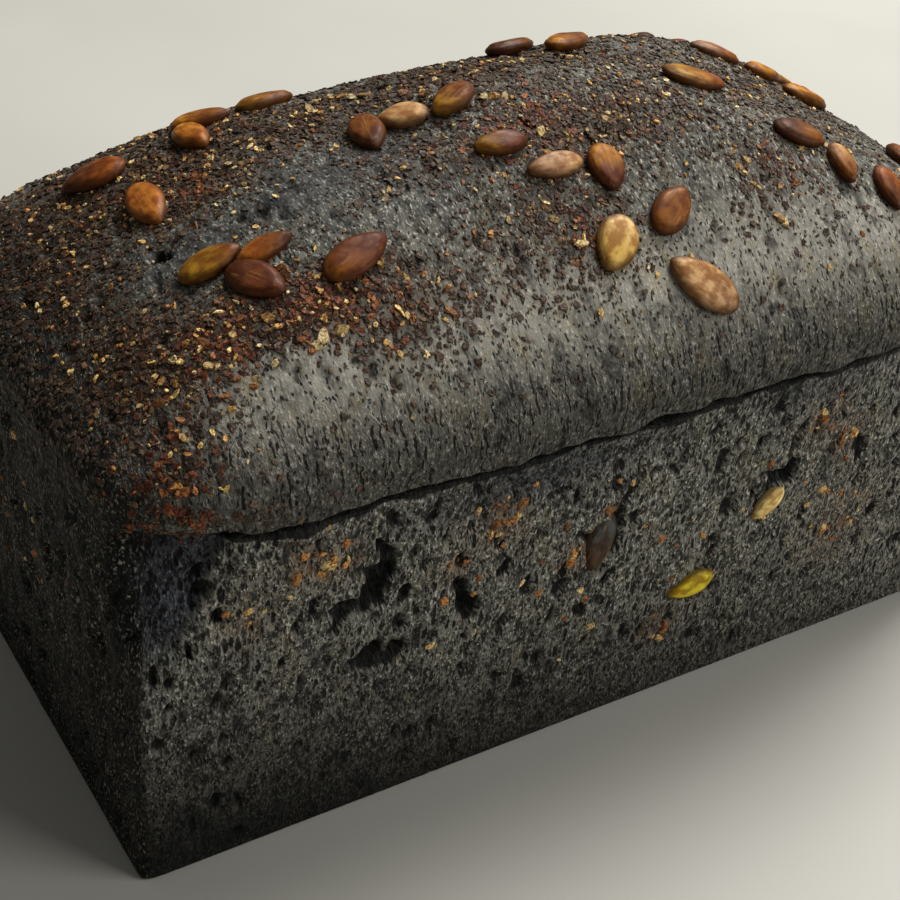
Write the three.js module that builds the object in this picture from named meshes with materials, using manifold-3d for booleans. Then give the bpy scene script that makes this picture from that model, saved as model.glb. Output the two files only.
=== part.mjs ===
// Charcoal bread: a black tin loaf with a risen, domed top, strewn with pumpkin seeds and bran
// flakes. Millimetres, +Z up. The origin is the middle of the flat underside, +X runs along the
// loaf and -Y is its front.
import * as THREE from "three";
import { mergeVertices } from "three/addons/utils/BufferGeometryUtils.js";
import Module from "manifold-3d";

// Driving dimensions of the loaf
const BASE_LENGTH = 200;
const BASE_WIDTH = 100;
const LOAF_HEIGHT = 122;
const CREASE_HEIGHT = 75; // the dough spread out over the edge of its tin here
const RIM_HEIGHT = 82; // the dome is widest here
const WALL_FLARE = 2; // each wall leans out by this much up to the crease
const SIDE_OVERHANG = 2.5; // the dome stands out past the long walls by this much
const END_OVERHANG = 0.8; // and past the ends by this much
const CREASE_DEPTH = 1.6; // the groove under the lip, cut into the wall
const CREASE_GAPE = 1.6; // the groove's height
const FOOT_ROUND = 1; // rounding of the lower edge

// Squareness of the outline: 2 is an ellipse, a large number a rectangle with sharp corners
const FOOT_SQUARENESS = 70;
const CREASE_SQUARENESS = 6.5;
const RIM_SQUARENESS = 6;
const CROWN_SQUARENESS = 5;
const CORNER_SOFTENING_FROM = 25; // the wall's corners are sharp up to this height
const CORNER_SOFTENING_POWER = 0.5; // under 1 they soften soon above it
const RIM_BLEND_POWER = 3; // the dome's outline turns from the crown's to the rim's near the rim
const DOME_PROFILE = 1.42; // 1 is a straight slope up to the crown, 2 a quarter of an ellipse

// The crease runs along both long walls and fades round the corners
const CREASE_FADE = [0.78, 0.98]; // shares of the half length
const END_CREASE = 0.35; // strength left on the two ends
// The lip's lower edge, as shares of the overhang, with a crease and without one
const LIP_EDGE = 0.72;
const LIP_SOFT_EDGE = 0.5;
// The lip's bulge: share of the way up to the rim, share of the overhang
const LIP_BULGE = { height: 0.4, overhang: 0.93 };
const FLARE_POWER = 1.3; // the walls lean out more towards the top

// Soft swells of the dome: plan position, reach along X and Y, height
const SWELLS = [
  { at: [-33, 5], reach: [13, 40], height: -1.6 },
  { at: [40, 14], reach: [28, 26], height: 1.0 },
  { at: [-62, -8], reach: [22, 24], height: 0.7 },
  { at: [70, -30], reach: [16, 18], height: -0.7 },
  { at: [62, 38], reach: [20, 14], height: 0.8 },
];
const SWELL_FADE_POWER = 4; // the swells fade out near the rim

// Shallow hollows pressed into the walls: middle, reach along X, Y and Z, depth
const HOLLOWS = [
  { at: [-91, -50, 62], reach: [11, 14, 13], depth: 3.2 },
  { at: [-101, -41, 42], reach: [14, 6, 12], depth: 2.0 },
  { at: [93, 50, 64], reach: [12, 14, 11], depth: 2.6 },
  { at: [101, 38, 40], reach: [14, 8, 14], depth: 1.6 },
  { at: [30, 51, 66], reach: [24, 12, 7], depth: 1.2 },
  { at: [-15, -51, 67], reach: [26, 12, 6], depth: 1.2 },
];

// Pumpkin seeds: a flat drop, blunt at one end and pointed at the other
const SEED_WIDTH = 0.6; // share of the seed's length
const SEED_THICKNESS = 2.8;
const SEED_TAPER = 0.3;
const SEED_LIFT = 0.6; // the seed's middle lies this far above the crust
// The seeds on the side that shows: place along, place across, turn in degrees, length
const SHOWN_SEEDS = [
  [-75, 25, 345, 13],
  [-72, 8, 85, 14],
  [-54, 25, 150, 12],
  [-58, 20, 95, 11],
  [-42, 23, 180, 12],
  [-71, -16, 175, 12],
  [-63, -20, 180, 11],
  [-67, -25, 115, 12],
  [-51, -29, 195, 14],
  [-34, -2, 75, 12],
  [-27, -2, 335, 10],
  [-18, -4, 25, 11],
  [7, 15, 195, 13],
  [16, 9, 200, 13],
  [-16, -17, 355, 11],
  [-8, -23, 0, 12],
  [2, -25, 80, 10],
  [-3, -37, 40, 12],
  [11, -34, 210, 12],
  [12, -45, 325, 16],
  [35, -7, 160, 14],
  [62, 18, 165, 13],
  [74, 15, 185, 12],
  [78, 5, 170, 13],
  [49, -24, 160, 12],
  [55, -31, 80, 10],
  [64, -36, 80, 11],
  [81, -22, 55, 11],
];
// The far slope and the far end carry more of them, drawn by rule
const FAR_SEED_ZONES = [
  { along: [-8, 84], across: [37, 47], count: 7 },
  { along: [-52, -14], across: [41, 47], count: 3 },
  { along: [94, 98], across: [20, 38], count: 2 },
];
const FAR_SEED_TRIES = 4;
const FAR_SEED_LENGTHS = [11, 14];
// Seeds baked into the walls: wall, place along it, height, turn in degrees, length, how far out
const WALL_SEEDS = [
  { wall: "front", along: -7, height: 48, turn: 82, length: 14, lift: -0.5 },
  { wall: "front", along: 35, height: 44, turn: 40, length: 10, lift: 0.1 },
  { wall: "front", along: 19, height: 28, turn: 8, length: 12, lift: 0.1 },
  { wall: "back", along: 42, height: 52, turn: 65, length: 12, lift: 0.1 },
  { wall: "back", along: -28, height: 35, turn: 15, length: 11, lift: 0 },
  { wall: "right", along: 12, height: 46, turn: 50, length: 12, lift: 0.1 },
];

// Burst bubbles in the walls: wall, place along it, height, width, tallness, depth, turn in degrees
const PITS = [
  { wall: "front", along: -56, height: 56, size: [6, 10, 4.4], turn: -12 },
  { wall: "front", along: -60, height: 50, size: [6, 6, 3], turn: 40 },
  { wall: "front", along: -50, height: 51, size: [3, 5, 3], turn: 0 },
  { wall: "front", along: -56, height: 39, size: [5, 6, 4], turn: 20 },
  { wall: "front", along: -51, height: 38, size: [5, 6.5, 4.6], turn: -15 },
  { wall: "front", along: -36, height: 43, size: [3.6, 8.5, 4.4], turn: 22 },
  { wall: "front", along: -9, height: 32, size: [4, 4, 2.4], turn: 0 },
  { wall: "front", along: 39, height: 51, size: [4.4, 6, 6], turn: -25 },
  { wall: "back", along: -62, height: 54, size: [6, 9, 4.4], turn: 15 },
  { wall: "back", along: -54, height: 47, size: [4, 6, 3.4], turn: -20 },
  { wall: "back", along: 12, height: 44, size: [4, 8, 4], turn: 10 },
  { wall: "back", along: 63, height: 36, size: [6, 5, 3.4], turn: 0 },
  { wall: "right", along: -18, height: 55, size: [5, 8, 4], turn: -10 },
  { wall: "right", along: 22, height: 32, size: [4, 5, 3], turn: 25 },
  { wall: "left", along: 14, height: 50, size: [4, 7, 3.4], turn: 12 },
];

// Bran flakes: the largest of those strewn on the dome, in loose drifts
const FLAKE_COUNT = 60;
const FLAKE_LENGTHS = [2.0, 3.4];
const FLAKE_WIDTH = 0.62; // share of the length
const FLAKE_TOP = 0.8; // the upper face as a share of the lower one
const FLAKE_THICKNESS = 1.1;
const FLAKE_TILT = 0.5; // steepest lean, radians
const FLAKE_SIDES = 4;
// The drifts: plan position, reach along X and Y, share of the flakes
const DRIFTS = [
  { at: [-74, -31], reach: [13, 6], share: 5 },
  { at: [-84, -42], reach: [8, 6], share: 4 },
  { at: [-50, -38], reach: [10, 6], share: 4 },
  { at: [-64, 2], reach: [9, 6], share: 2 },
  { at: [-5, -14], reach: [14, 8], share: 4 },
  { at: [-8, -36], reach: [7, 6], share: 2 },
  { at: [-28, 12], reach: [20, 7], share: 3 },
  { at: [38, -30], reach: [15, 9], share: 3 },
  { at: [30, 34], reach: [26, 8], share: 4 },
  { at: [-50, 36], reach: [20, 8], share: 3 },
  { at: [0, 0], reach: [70, 32], share: 8 },
];
const DRIFT_REACHES = 2; // a drift ends at this many times its reach
const DRIFT_LIMIT = 0.93; // nothing is strewn past this share of the way to the rim

// How finely the surfaces are divided
const COLUMNS = 36;
const ROWS = 18;
const EDGE_CROWDING = 0.7;
const FOOT_STEPS = 2;
const WALL_STEPS = 6;
const SEED_DIVISIONS = [10, 4];
const PIT_DIVISIONS = [8, 4];

const RANDOM_SEED = 20;
const CRUST_COLOUR = 0x33322e;
const CRUST_ROUGHNESS = 0.82;

// Worked-out sizes
const DOME_RISE = LOAF_HEIGHT - RIM_HEIGHT;
const RIM_HALF_LENGTH = BASE_LENGTH / 2 + WALL_FLARE + END_OVERHANG;
const RIM_HALF_WIDTH = BASE_WIDTH / 2 + WALL_FLARE + SIDE_OVERHANG;
const CREASE_TOP = CREASE_HEIGHT + CREASE_GAPE;
const DEGREE = Math.PI / 180;
const SLOPE_STEP = 0.5; // distance over which a slope is measured

const wasm = await Module();
wasm.setup();

const mix = THREE.MathUtils.lerp;
const smooth = (value, from, to) => THREE.MathUtils.smoothstep(value, from, to);
const powerNorm = (u, v, power) => Math.pow(Math.abs(u) ** power + Math.abs(v) ** power, 1 / power);

// Random numbers from 0 to 1 by the mulberry32 rule, the same row of them each time
function randomRow(seed) {
  let state = seed >>> 0;
  return () => {
    state = (state + 0x6d2b79f5) >>> 0;
    let bits = Math.imul(state ^ (state >>> 15), state | 1);
    bits ^= bits + Math.imul(bits ^ (bits >>> 7), bits | 61);
    return ((bits ^ (bits >>> 14)) >>> 0) / 2 ** 32;
  };
}

// A number that is 1 in the middle and fades to 0 over the given reach
function fade(offsets, reach) {
  let sum = 0;
  offsets.forEach((offset, axis) => {
    sum += (offset / reach[axis]) ** 2;
  });
  return Math.exp(-sum);
}

// How far a plan position is on the way from the crown, 0, to the rim, 1
function wayToRim(x, y) {
  const u = x / RIM_HALF_LENGTH;
  const v = y / RIM_HALF_WIDTH;
  const square = Math.min(powerNorm(u, v, RIM_SQUARENESS), 1);
  const round = powerNorm(u, v, CROWN_SQUARENESS);
  return Math.min(mix(round, square, square ** RIM_BLEND_POWER), 1);
}

function domeHeight(x, y) {
  const way = wayToRim(x, y);
  const rise = Math.pow(1 - way ** DOME_PROFILE, 1 / DOME_PROFILE);
  let swell = 0;
  for (const { at, reach, height } of SWELLS) {
    swell += height * fade([x - at[0], y - at[1]], reach);
  }
  return RIM_HEIGHT + DOME_RISE * rise + swell * (1 - way ** SWELL_FADE_POWER);
}

const wallFlare = (z) => WALL_FLARE * Math.min(z / CREASE_HEIGHT, 1) ** FLARE_POWER;

// Squareness of the walls' outline at a height
function wallSquareness(z) {
  const softened = smooth(z, CORNER_SOFTENING_FROM, CREASE_HEIGHT) ** CORNER_SOFTENING_POWER;
  return mix(FOOT_SQUARENESS, CREASE_SQUARENESS, softened);
}

function hollowDepth(x, y, z) {
  let sum = 0;
  for (const { at, reach, depth } of HOLLOWS) {
    sum += depth * fade([x - at[0], y - at[1], z - at[2]], reach);
  }
  return sum;
}

// A point of the side in the direction (dx, dy), whose larger part is 1. Hollows press it in,
// square to the outline.
function sidePoint(dx, dy, { z, outset, lip, squareness }) {
  const norm = powerNorm(dx, dy, squareness);
  const halfLength = BASE_LENGTH / 2 + outset + lip * END_OVERHANG;
  const halfWidth = BASE_WIDTH / 2 + outset + lip * SIDE_OVERHANG;
  const x = (halfLength * dx) / norm;
  const y = (halfWidth * dy) / norm;
  const out = new THREE.Vector2(
    (Math.sign(dx) * Math.abs(dx) ** (squareness - 1)) / halfLength,
    (Math.sign(dy) * Math.abs(dy) ** (squareness - 1)) / halfWidth,
  ).normalize();
  const depth = hollowDepth(x, y, z);
  return new THREE.Vector3(x - depth * out.x, y - depth * out.y, z);
}

// The rows of the side from the foot to the rim. The crease's strength runs from 0 to 1.
function sideRows(crease) {
  const rows = [];
  for (let step = 0; step < FOOT_STEPS; step++) {
    const angle = (step / FOOT_STEPS) * (Math.PI / 2);
    const z = FOOT_ROUND * (1 - Math.cos(angle));
    const outset = -FOOT_ROUND * (1 - Math.sin(angle));
    rows.push({ z, outset, lip: 0, squareness: FOOT_SQUARENESS });
  }
  for (let step = 0; step <= WALL_STEPS; step++) {
    const z = mix(FOOT_ROUND, CREASE_HEIGHT - CREASE_GAPE, step / WALL_STEPS);
    rows.push({ z, outset: wallFlare(z), lip: 0, squareness: wallSquareness(z) });
  }
  const groove = WALL_FLARE - CREASE_DEPTH * crease;
  const grooveLip = LIP_SOFT_EDGE * (1 - crease);
  const edgeLip = mix(LIP_SOFT_EDGE, LIP_EDGE, crease);
  const bulgeHeight = mix(CREASE_TOP, RIM_HEIGHT, LIP_BULGE.height);
  rows.push({ z: CREASE_HEIGHT, outset: groove, lip: grooveLip, squareness: CREASE_SQUARENESS });
  rows.push({ z: CREASE_TOP, outset: WALL_FLARE, lip: edgeLip, squareness: CREASE_SQUARENESS });
  rows.push({ z: bulgeHeight, outset: WALL_FLARE, lip: LIP_BULGE.overhang, squareness: RIM_SQUARENESS });
  rows.push({ z: RIM_HEIGHT, outset: WALL_FLARE, lip: 1, squareness: RIM_SQUARENESS });
  return rows;
}

// Place of a grid line from -1 to 1, closer together near the rim
function gridLine(index, count) {
  const even = (2 * index) / count - 1;
  return mix(even, Math.sin((even * Math.PI) / 2), EDGE_CROWDING);
}

// The grid's outer points in order, once round
function gridEdge() {
  const edge = [];
  for (let i = 0; i < COLUMNS; i++) edge.push([i, 0]);
  for (let j = 0; j < ROWS; j++) edge.push([COLUMNS, j]);
  for (let i = COLUMNS; i > 0; i--) edge.push([i, ROWS]);
  for (let j = ROWS; j > 0; j--) edge.push([0, j]);
  return edge;
}

// A point of the dome for a place on the square grid
function domePoint(u, v) {
  const share = Math.max(Math.abs(u), Math.abs(v));
  const norm = share > 0 ? powerNorm(u / share, v / share, RIM_SQUARENESS) : 1;
  const x = (RIM_HALF_LENGTH * u) / norm;
  const y = (RIM_HALF_WIDTH * v) / norm;
  return new THREE.Vector3(x, y, domeHeight(x, y));
}

// The bare loaf as one closed mesh: underside, walls, crease, lip and dome
function loafGeometry() {
  const points = [];
  const faces = [];
  const edge = gridEdge();
  const rowCount = sideRows(0).length;
  for (const [i, j] of edge) {
    const dx = gridLine(i, COLUMNS);
    const dy = gridLine(j, ROWS);
    const crease = mix(1, END_CREASE, smooth(Math.abs(dx), ...CREASE_FADE));
    for (const row of sideRows(crease)) points.push(sidePoint(dx, dy, row));
  }
  const sideIndex = (place, row) => (place % edge.length) * rowCount + row;
  for (let place = 0; place < edge.length; place++) {
    for (let row = 0; row + 1 < rowCount; row++) {
      const corners = [sideIndex(place, row), sideIndex(place + 1, row)];
      corners.push(sideIndex(place + 1, row + 1), sideIndex(place, row + 1));
      faces.push(corners[0], corners[1], corners[2], corners[0], corners[2], corners[3]);
    }
  }

  const underside = points.push(new THREE.Vector3(0, 0, 0)) - 1;
  for (let place = 0; place < edge.length; place++) {
    faces.push(underside, sideIndex(place + 1, 0), sideIndex(place, 0));
  }

  const domeIndex = new Map();
  edge.forEach(([i, j], place) => domeIndex.set(`${i},${j}`, sideIndex(place, rowCount - 1)));
  for (let j = 1; j < ROWS; j++) {
    for (let i = 1; i < COLUMNS; i++) {
      const point = domePoint(gridLine(i, COLUMNS), gridLine(j, ROWS));
      domeIndex.set(`${i},${j}`, points.push(point) - 1);
    }
  }
  for (let j = 0; j < ROWS; j++) {
    for (let i = 0; i < COLUMNS; i++) {
      const corners = [[i, j], [i + 1, j], [i + 1, j + 1], [i, j + 1]];
      const [a, b, c, d] = corners.map(([column, row]) => domeIndex.get(`${column},${row}`));
      faces.push(a, b, c, a, c, d);
    }
  }
  const geometry = new THREE.BufferGeometry().setFromPoints(points);
  geometry.setIndex(faces);
  return geometry;
}

// A pumpkin seed lying in the XY plane, its point towards -X
function seedGeometry(length) {
  const geometry = new THREE.SphereGeometry(1, ...SEED_DIVISIONS);
  geometry.rotateX(Math.PI / 2);
  const position = geometry.attributes.position;
  for (let index = 0; index < position.count; index++) {
    const along = position.getX(index);
    const across = position.getY(index) * (1 + SEED_TAPER * along);
    const up = position.getZ(index);
    position.setXYZ(
      index,
      (along * length) / 2,
      (across * SEED_WIDTH * length) / 2,
      (up * SEED_THICKNESS) / 2,
    );
  }
  return geometry;
}

// A bran flake: a small uneven plate
function flakeGeometry(length, random) {
  const geometry = new THREE.CylinderGeometry(FLAKE_TOP, 1, FLAKE_THICKNESS, FLAKE_SIDES);
  geometry.rotateX(Math.PI / 2);
  geometry.rotateZ(random() * Math.PI);
  return geometry.scale(length / 2, (FLAKE_WIDTH * length) / 2, 1);
}

function pitGeometry([width, tall, depth]) {
  return new THREE.SphereGeometry(1, ...PIT_DIVISIONS).scale(width / 2, tall / 2, depth / 2);
}

// A frame that stands on the dome: Z along the crust's normal, X turned from the loaf's length
function onDome(x, y, turn, lift) {
  const slopeX = (domeHeight(x + SLOPE_STEP, y) - domeHeight(x - SLOPE_STEP, y)) / (2 * SLOPE_STEP);
  const slopeY = (domeHeight(x, y + SLOPE_STEP) - domeHeight(x, y - SLOPE_STEP)) / (2 * SLOPE_STEP);
  const normal = new THREE.Vector3(-slopeX, -slopeY, 1).normalize();
  const heading = new THREE.Vector3(Math.cos(turn), Math.sin(turn), 0);
  heading.z = heading.x * slopeX + heading.y * slopeY;
  heading.normalize();
  const across = new THREE.Vector3().crossVectors(normal, heading);
  const frame = new THREE.Matrix4().makeBasis(heading, across, normal);
  return frame.setPosition(x + normal.x * lift, y + normal.y * lift, domeHeight(x, y) + normal.z * lift);
}

// A frame on a wall: Z points out of it, Y up, and X along it to the right as seen from outside
const WALL_TURNS = { front: 0, right: 90, back: 180, left: 270 };
function onWall(wall, along, height, turn, lift) {
  const across = wall === "front" || wall === "back" ? BASE_WIDTH : BASE_LENGTH;
  const out = across / 2 + wallFlare(height) + lift;
  const frame = new THREE.Matrix4().makeRotationZ(WALL_TURNS[wall] * DEGREE);
  frame.multiply(new THREE.Matrix4().makeTranslation(along, -out, height));
  frame.multiply(new THREE.Matrix4().makeRotationX(Math.PI / 2));
  return frame.multiply(new THREE.Matrix4().makeRotationZ(turn * DEGREE));
}

// A closed geometry, placed by a frame, as a solid that can be joined and cut
function solidOf(geometry, frame = new THREE.Matrix4()) {
  const bare = new THREE.BufferGeometry();
  bare.setAttribute("position", geometry.attributes.position.clone());
  bare.setIndex(geometry.index);
  const merged = mergeVertices(bare.applyMatrix4(frame));
  const vertProperties = new Float32Array(merged.attributes.position.array);
  const triVerts = new Uint32Array(merged.index.array);
  return new wasm.Manifold(new wasm.Mesh({ numProp: 3, vertProperties, triVerts }));
}

// The seeds on the slopes that don't show, each at the roomiest of a few tries
function farSeeds(random) {
  const seeds = [...SHOWN_SEEDS];
  const room = ([x, y]) => Math.min(...seeds.map((seed) => Math.hypot(seed[0] - x, seed[1] - y)));
  for (const { along, across, count } of FAR_SEED_ZONES) {
    for (let index = 0; index < count; index++) {
      let best = null;
      for (let attempt = 0; attempt < FAR_SEED_TRIES; attempt++) {
        const place = [mix(...along, random()), mix(...across, random())];
        if (best === null || room(place) > room(best)) best = place;
      }
      seeds.push([...best, 360 * random(), mix(...FAR_SEED_LENGTHS, random())]);
    }
  }
  return seeds.slice(SHOWN_SEEDS.length);
}

// A draw from a bell curve, as the mean of three even draws
function bellDraw(random) {
  const mean = (random() + random() + random()) / 3;
  return DRIFT_REACHES * (2 * mean - 1);
}

function pickDrift(random) {
  const whole = DRIFTS.reduce((sum, drift) => sum + drift.share, 0);
  let rest = random() * whole;
  for (const drift of DRIFTS) {
    rest -= drift.share;
    if (rest < 0) return drift;
  }
  return DRIFTS.at(-1);
}

// The places of the flakes, thickest in the drifts
function flakePlaces(random) {
  const places = [];
  while (places.length < FLAKE_COUNT) {
    const { at, reach } = pickDrift(random);
    const x = at[0] + reach[0] * bellDraw(random);
    const y = at[1] + reach[1] * bellDraw(random);
    if (wayToRim(x, y) < DRIFT_LIMIT) places.push([x, y]);
  }
  return places;
}

function flakeSolid([x, y], random) {
  const length = mix(...FLAKE_LENGTHS, random());
  const geometry = flakeGeometry(length, random);
  geometry.rotateX(mix(-FLAKE_TILT, FLAKE_TILT, random()));
  return solidOf(geometry, onDome(x, y, random() * Math.PI * 2, 0));
}

// The loaf with its pits cut and its seeds and flakes fused on
function breadSolid() {
  const random = randomRow(RANDOM_SEED);
  const cuts = PITS.map(({ wall, along, height, size, turn }) =>
    solidOf(pitGeometry(size), onWall(wall, along, height, turn, 0)),
  );
  const domeSeeds = [...SHOWN_SEEDS, ...farSeeds(random)].map(([x, y, turn, length]) =>
    solidOf(seedGeometry(length), onDome(x, y, turn * DEGREE, SEED_LIFT)),
  );
  const wallSeeds = WALL_SEEDS.map(({ wall, along, height, turn, length, lift }) =>
    solidOf(seedGeometry(length), onWall(wall, along, height, turn, lift)),
  );
  const flakes = flakePlaces(random).map((place) => flakeSolid(place, random));
  let bread = solidOf(loafGeometry());
  for (const cut of cuts) bread = bread.subtract(cut);
  for (const piece of [...domeSeeds, ...wallSeeds, ...flakes]) bread = bread.add(piece);
  return bread;
}

function breadMesh() {
  const { vertProperties, triVerts } = breadSolid().getMesh();
  const geometry = new THREE.BufferGeometry();
  geometry.setAttribute("position", new THREE.BufferAttribute(vertProperties, 3));
  geometry.setIndex(new THREE.BufferAttribute(triVerts, 1));
  geometry.computeVertexNormals();
  const crust = new THREE.MeshStandardMaterial({
    color: CRUST_COLOUR,
    roughness: CRUST_ROUGHNESS,
    metalness: 0,
  });
  const mesh = new THREE.Mesh(geometry, crust);
  mesh.name = "loaf";
  return mesh;
}

const bread = new THREE.Group();
bread.add(breadMesh());

export default bread;
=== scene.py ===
# Charcoal bread: the looks of a black tin loaf with a risen dome, strewn with pumpkin seeds and bran.
# Lengths are millimetres in the frame's axes, and become metres when a mesh is made.
import itertools
import math
from typing import NamedTuple

import bpy
import numpy as np
from mathutils import Matrix, Vector
from mathutils.bvhtree import BVHTree


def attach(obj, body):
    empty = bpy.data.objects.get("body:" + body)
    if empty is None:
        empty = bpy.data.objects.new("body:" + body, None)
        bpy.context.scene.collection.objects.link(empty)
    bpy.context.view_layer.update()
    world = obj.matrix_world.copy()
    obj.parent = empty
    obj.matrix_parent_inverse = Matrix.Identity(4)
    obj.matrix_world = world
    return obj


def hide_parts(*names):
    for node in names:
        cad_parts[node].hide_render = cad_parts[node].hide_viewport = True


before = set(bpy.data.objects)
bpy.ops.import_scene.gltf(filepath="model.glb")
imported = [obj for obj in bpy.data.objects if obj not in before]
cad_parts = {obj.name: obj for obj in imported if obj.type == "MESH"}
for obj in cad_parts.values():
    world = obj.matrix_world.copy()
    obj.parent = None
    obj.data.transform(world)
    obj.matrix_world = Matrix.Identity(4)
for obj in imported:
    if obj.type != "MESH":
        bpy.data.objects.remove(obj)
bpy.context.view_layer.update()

MM = 0.001
TINY = 1e-9
SLOPE_STEP = 0.5
# Blender's names for point attributes of one, three and four numbers
ATTRIBUTE_KINDS = {1: ("FLOAT", "value"), 3: ("FLOAT_VECTOR", "vector"), 4: ("FLOAT_COLOR", "color")}

# Driving dimensions of the loaf
BASE_LENGTH = 200
BASE_WIDTH = 100
LOAF_HEIGHT = 122
CREASE_HEIGHT = 75
RIM_HEIGHT = 82
WALL_FLARE = 2
SIDE_OVERHANG = 2.5
END_OVERHANG = 0.8
CREASE_GAPE = 1.6
FOOT_ROUND = 1
FOOT_SQUARENESS = 70
CREASE_SQUARENESS = 6.5
RIM_SQUARENESS = 6
CROWN_SQUARENESS = 5
CORNER_SOFTENING_FROM = 25
CORNER_SOFTENING_POWER = 0.5
RIM_BLEND_POWER = 3
DOME_PROFILE = 1.42
CREASE_FADE = (0.76, 0.94)
END_CREASE = 0.1
LIP_EDGE = 0.72
LIP_SOFT_EDGE = 0.5
FLARE_POWER = 1.3
DOME_RISE = LOAF_HEIGHT - RIM_HEIGHT
RIM_HALF_LENGTH = BASE_LENGTH / 2 + WALL_FLARE + END_OVERHANG
RIM_HALF_WIDTH = BASE_WIDTH / 2 + WALL_FLARE + SIDE_OVERHANG

# The crease as it shows: a narrow slot that wanders a little, with rough edges
CREASE_CUT = 3.4
CREASE_WIDTH = 0.2
CREASE_REACH = 7
CREASE_ROUGH_AT = 1
CREASE_ROUGH_REACH = 3
# The slot's shade: heights over the crease, its ragged edge, depth, and where it fades along the loaf
SLOT_FROM = -3
SLOT_FULL = -0.8
SLOT_RAGGED = 1.5
SLOT_TOP = 0.7
SLOT_SHADE = 1.8
SLOT_FADE = (78, 96)
# Heights over the crease between which crumb turns into skin, first on the walls and then on the ends
SKIN_FROM = (-0.5, -10)
SKIN_TO = (2.5, 30)
END_FADE = (78, 101)
END_SLOPE = (0.3, 0.8)
# Where painted shade darkens the crust near the foot, more towards the left, and on the lip, and where a
# painted highlight lies along the shoulders
LOW_LEAN = 0.18
LOW_FADE = (46, -14)
LIP_FADE = (100, 78)
PAINTED_HIGHLIGHT_AT = 43
PAINTED_HIGHLIGHT_REACH = 8
# Layers of noise in the relief: height, grain along X, Y and Z, and the noise's own number
CREASE_WAVES = ((0.9, (26, 26, 1), 11), (0.5, (7, 7, 1), 12), (0.2, (2.6, 2.6, 1), 16))
CREASE_ROUGHNESS = ((0.6, (3.4, 3.4, 2.6), 15),)
SOFT_RELIEF = ((0.45, (24, 24, 24), 1), (0.28, (9, 9, 12), 2))
CRUMB_RELIEF = ((0.3, (2.6, 2.6, 4.2), 3), (0.25, (1.7, 1.7, 2.6), 4))
END_FOLDS = ((0.7, (60, 5, 46), 7),)
TORN_EDGES = ((1, (5, 5, 5), 13), (0.7, (1.8, 1.8, 1.8), 14))
WALL_PIT_EDGES = ((1, (1.7, 1.7, 2.4), 5), (0.5, (3.6, 3.6, 4), 8))
DOME_PIT_EDGES = ((1, (1.6, 2.4, 2.4), 6),)
SKIN_CRUMB = 0.35
FOOT_FADE = (0.2, 3)
# How much shorter the grain's measure is along it than across, so that flecks come out longer
GRAIN_STRETCH = 0.57
# Keeps the grain of the back from being the front's mirror image
GRAIN_SKEW = 0.1

# Soft swells of the dome: plan position, reach, height
SWELLS = (
    ((-33, 5), (13, 40), -1.6), ((40, 14), (28, 26), 1.0), ((-62, -8), (22, 24), 0.7),
    ((70, -30), (16, 18), -0.7), ((62, 38), (20, 14), 0.8),
)
SWELL_FADE_POWER = 4
# Shallow hollows pressed into the walls: middle, reach, depth
HOLLOWS = (
    ((-91, -50, 62), (11, 14, 13), 3.2), ((-101, -41, 42), (14, 6, 12), 2.0),
    ((93, 50, 64), (12, 14, 11), 2.6), ((101, 38, 40), (14, 8, 14), 1.6),
    ((30, 51, 66), (24, 12, 7), 1.2), ((-15, -51, 67), (26, 12, 6), 1.2),
)
# The scoop torn out at the front left corner: its edge's top and foot on the front wall, its depth and
# shade, how ragged and soft the edge is, and where it fades towards the foot, crease, back and end
SCOOP_TOP = (-83, 72)
SCOOP_FOOT = (-90, 56)
SCOOP_DEPTH = 1.8
SCOOP_SHADE = 1.1
SCOOP_RAGGED = 1.2
SCOOP_EDGE = 1.4
SCOOP_FOOT_FADE = 8
SCOOP_CREASE_FADE = 2
SCOOP_BACK_FADE = (-36, -42)
SCOOP_END_FADE = (-102, -96)

# Dark bluish patches where the crust tore or sank: middle, reach, share
TORN_PATCHES = (
    ((-22, -52, 69), (26, 8, 6), 1.0), ((40, -52, 71), (20, 8, 4), 0.7),
    ((-74, -9, 115), (14, 7, 20), 0.8), ((-52, -10, 118), (10, 9, 20), 0.7),
    ((-34, -8, 120), (9, 16, 20), 0.8), ((10, 20, 120), (40, 14, 20), 0.3),
)

# How finely the loaf is divided
COLUMNS = 240
ROWS = 100
EDGE_CROWDING = 0.25
FOOT_STEPS = 3
WALL_STEPS = 82
CREASE_STEPS = 12
LIP_STEPS = 8

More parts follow.
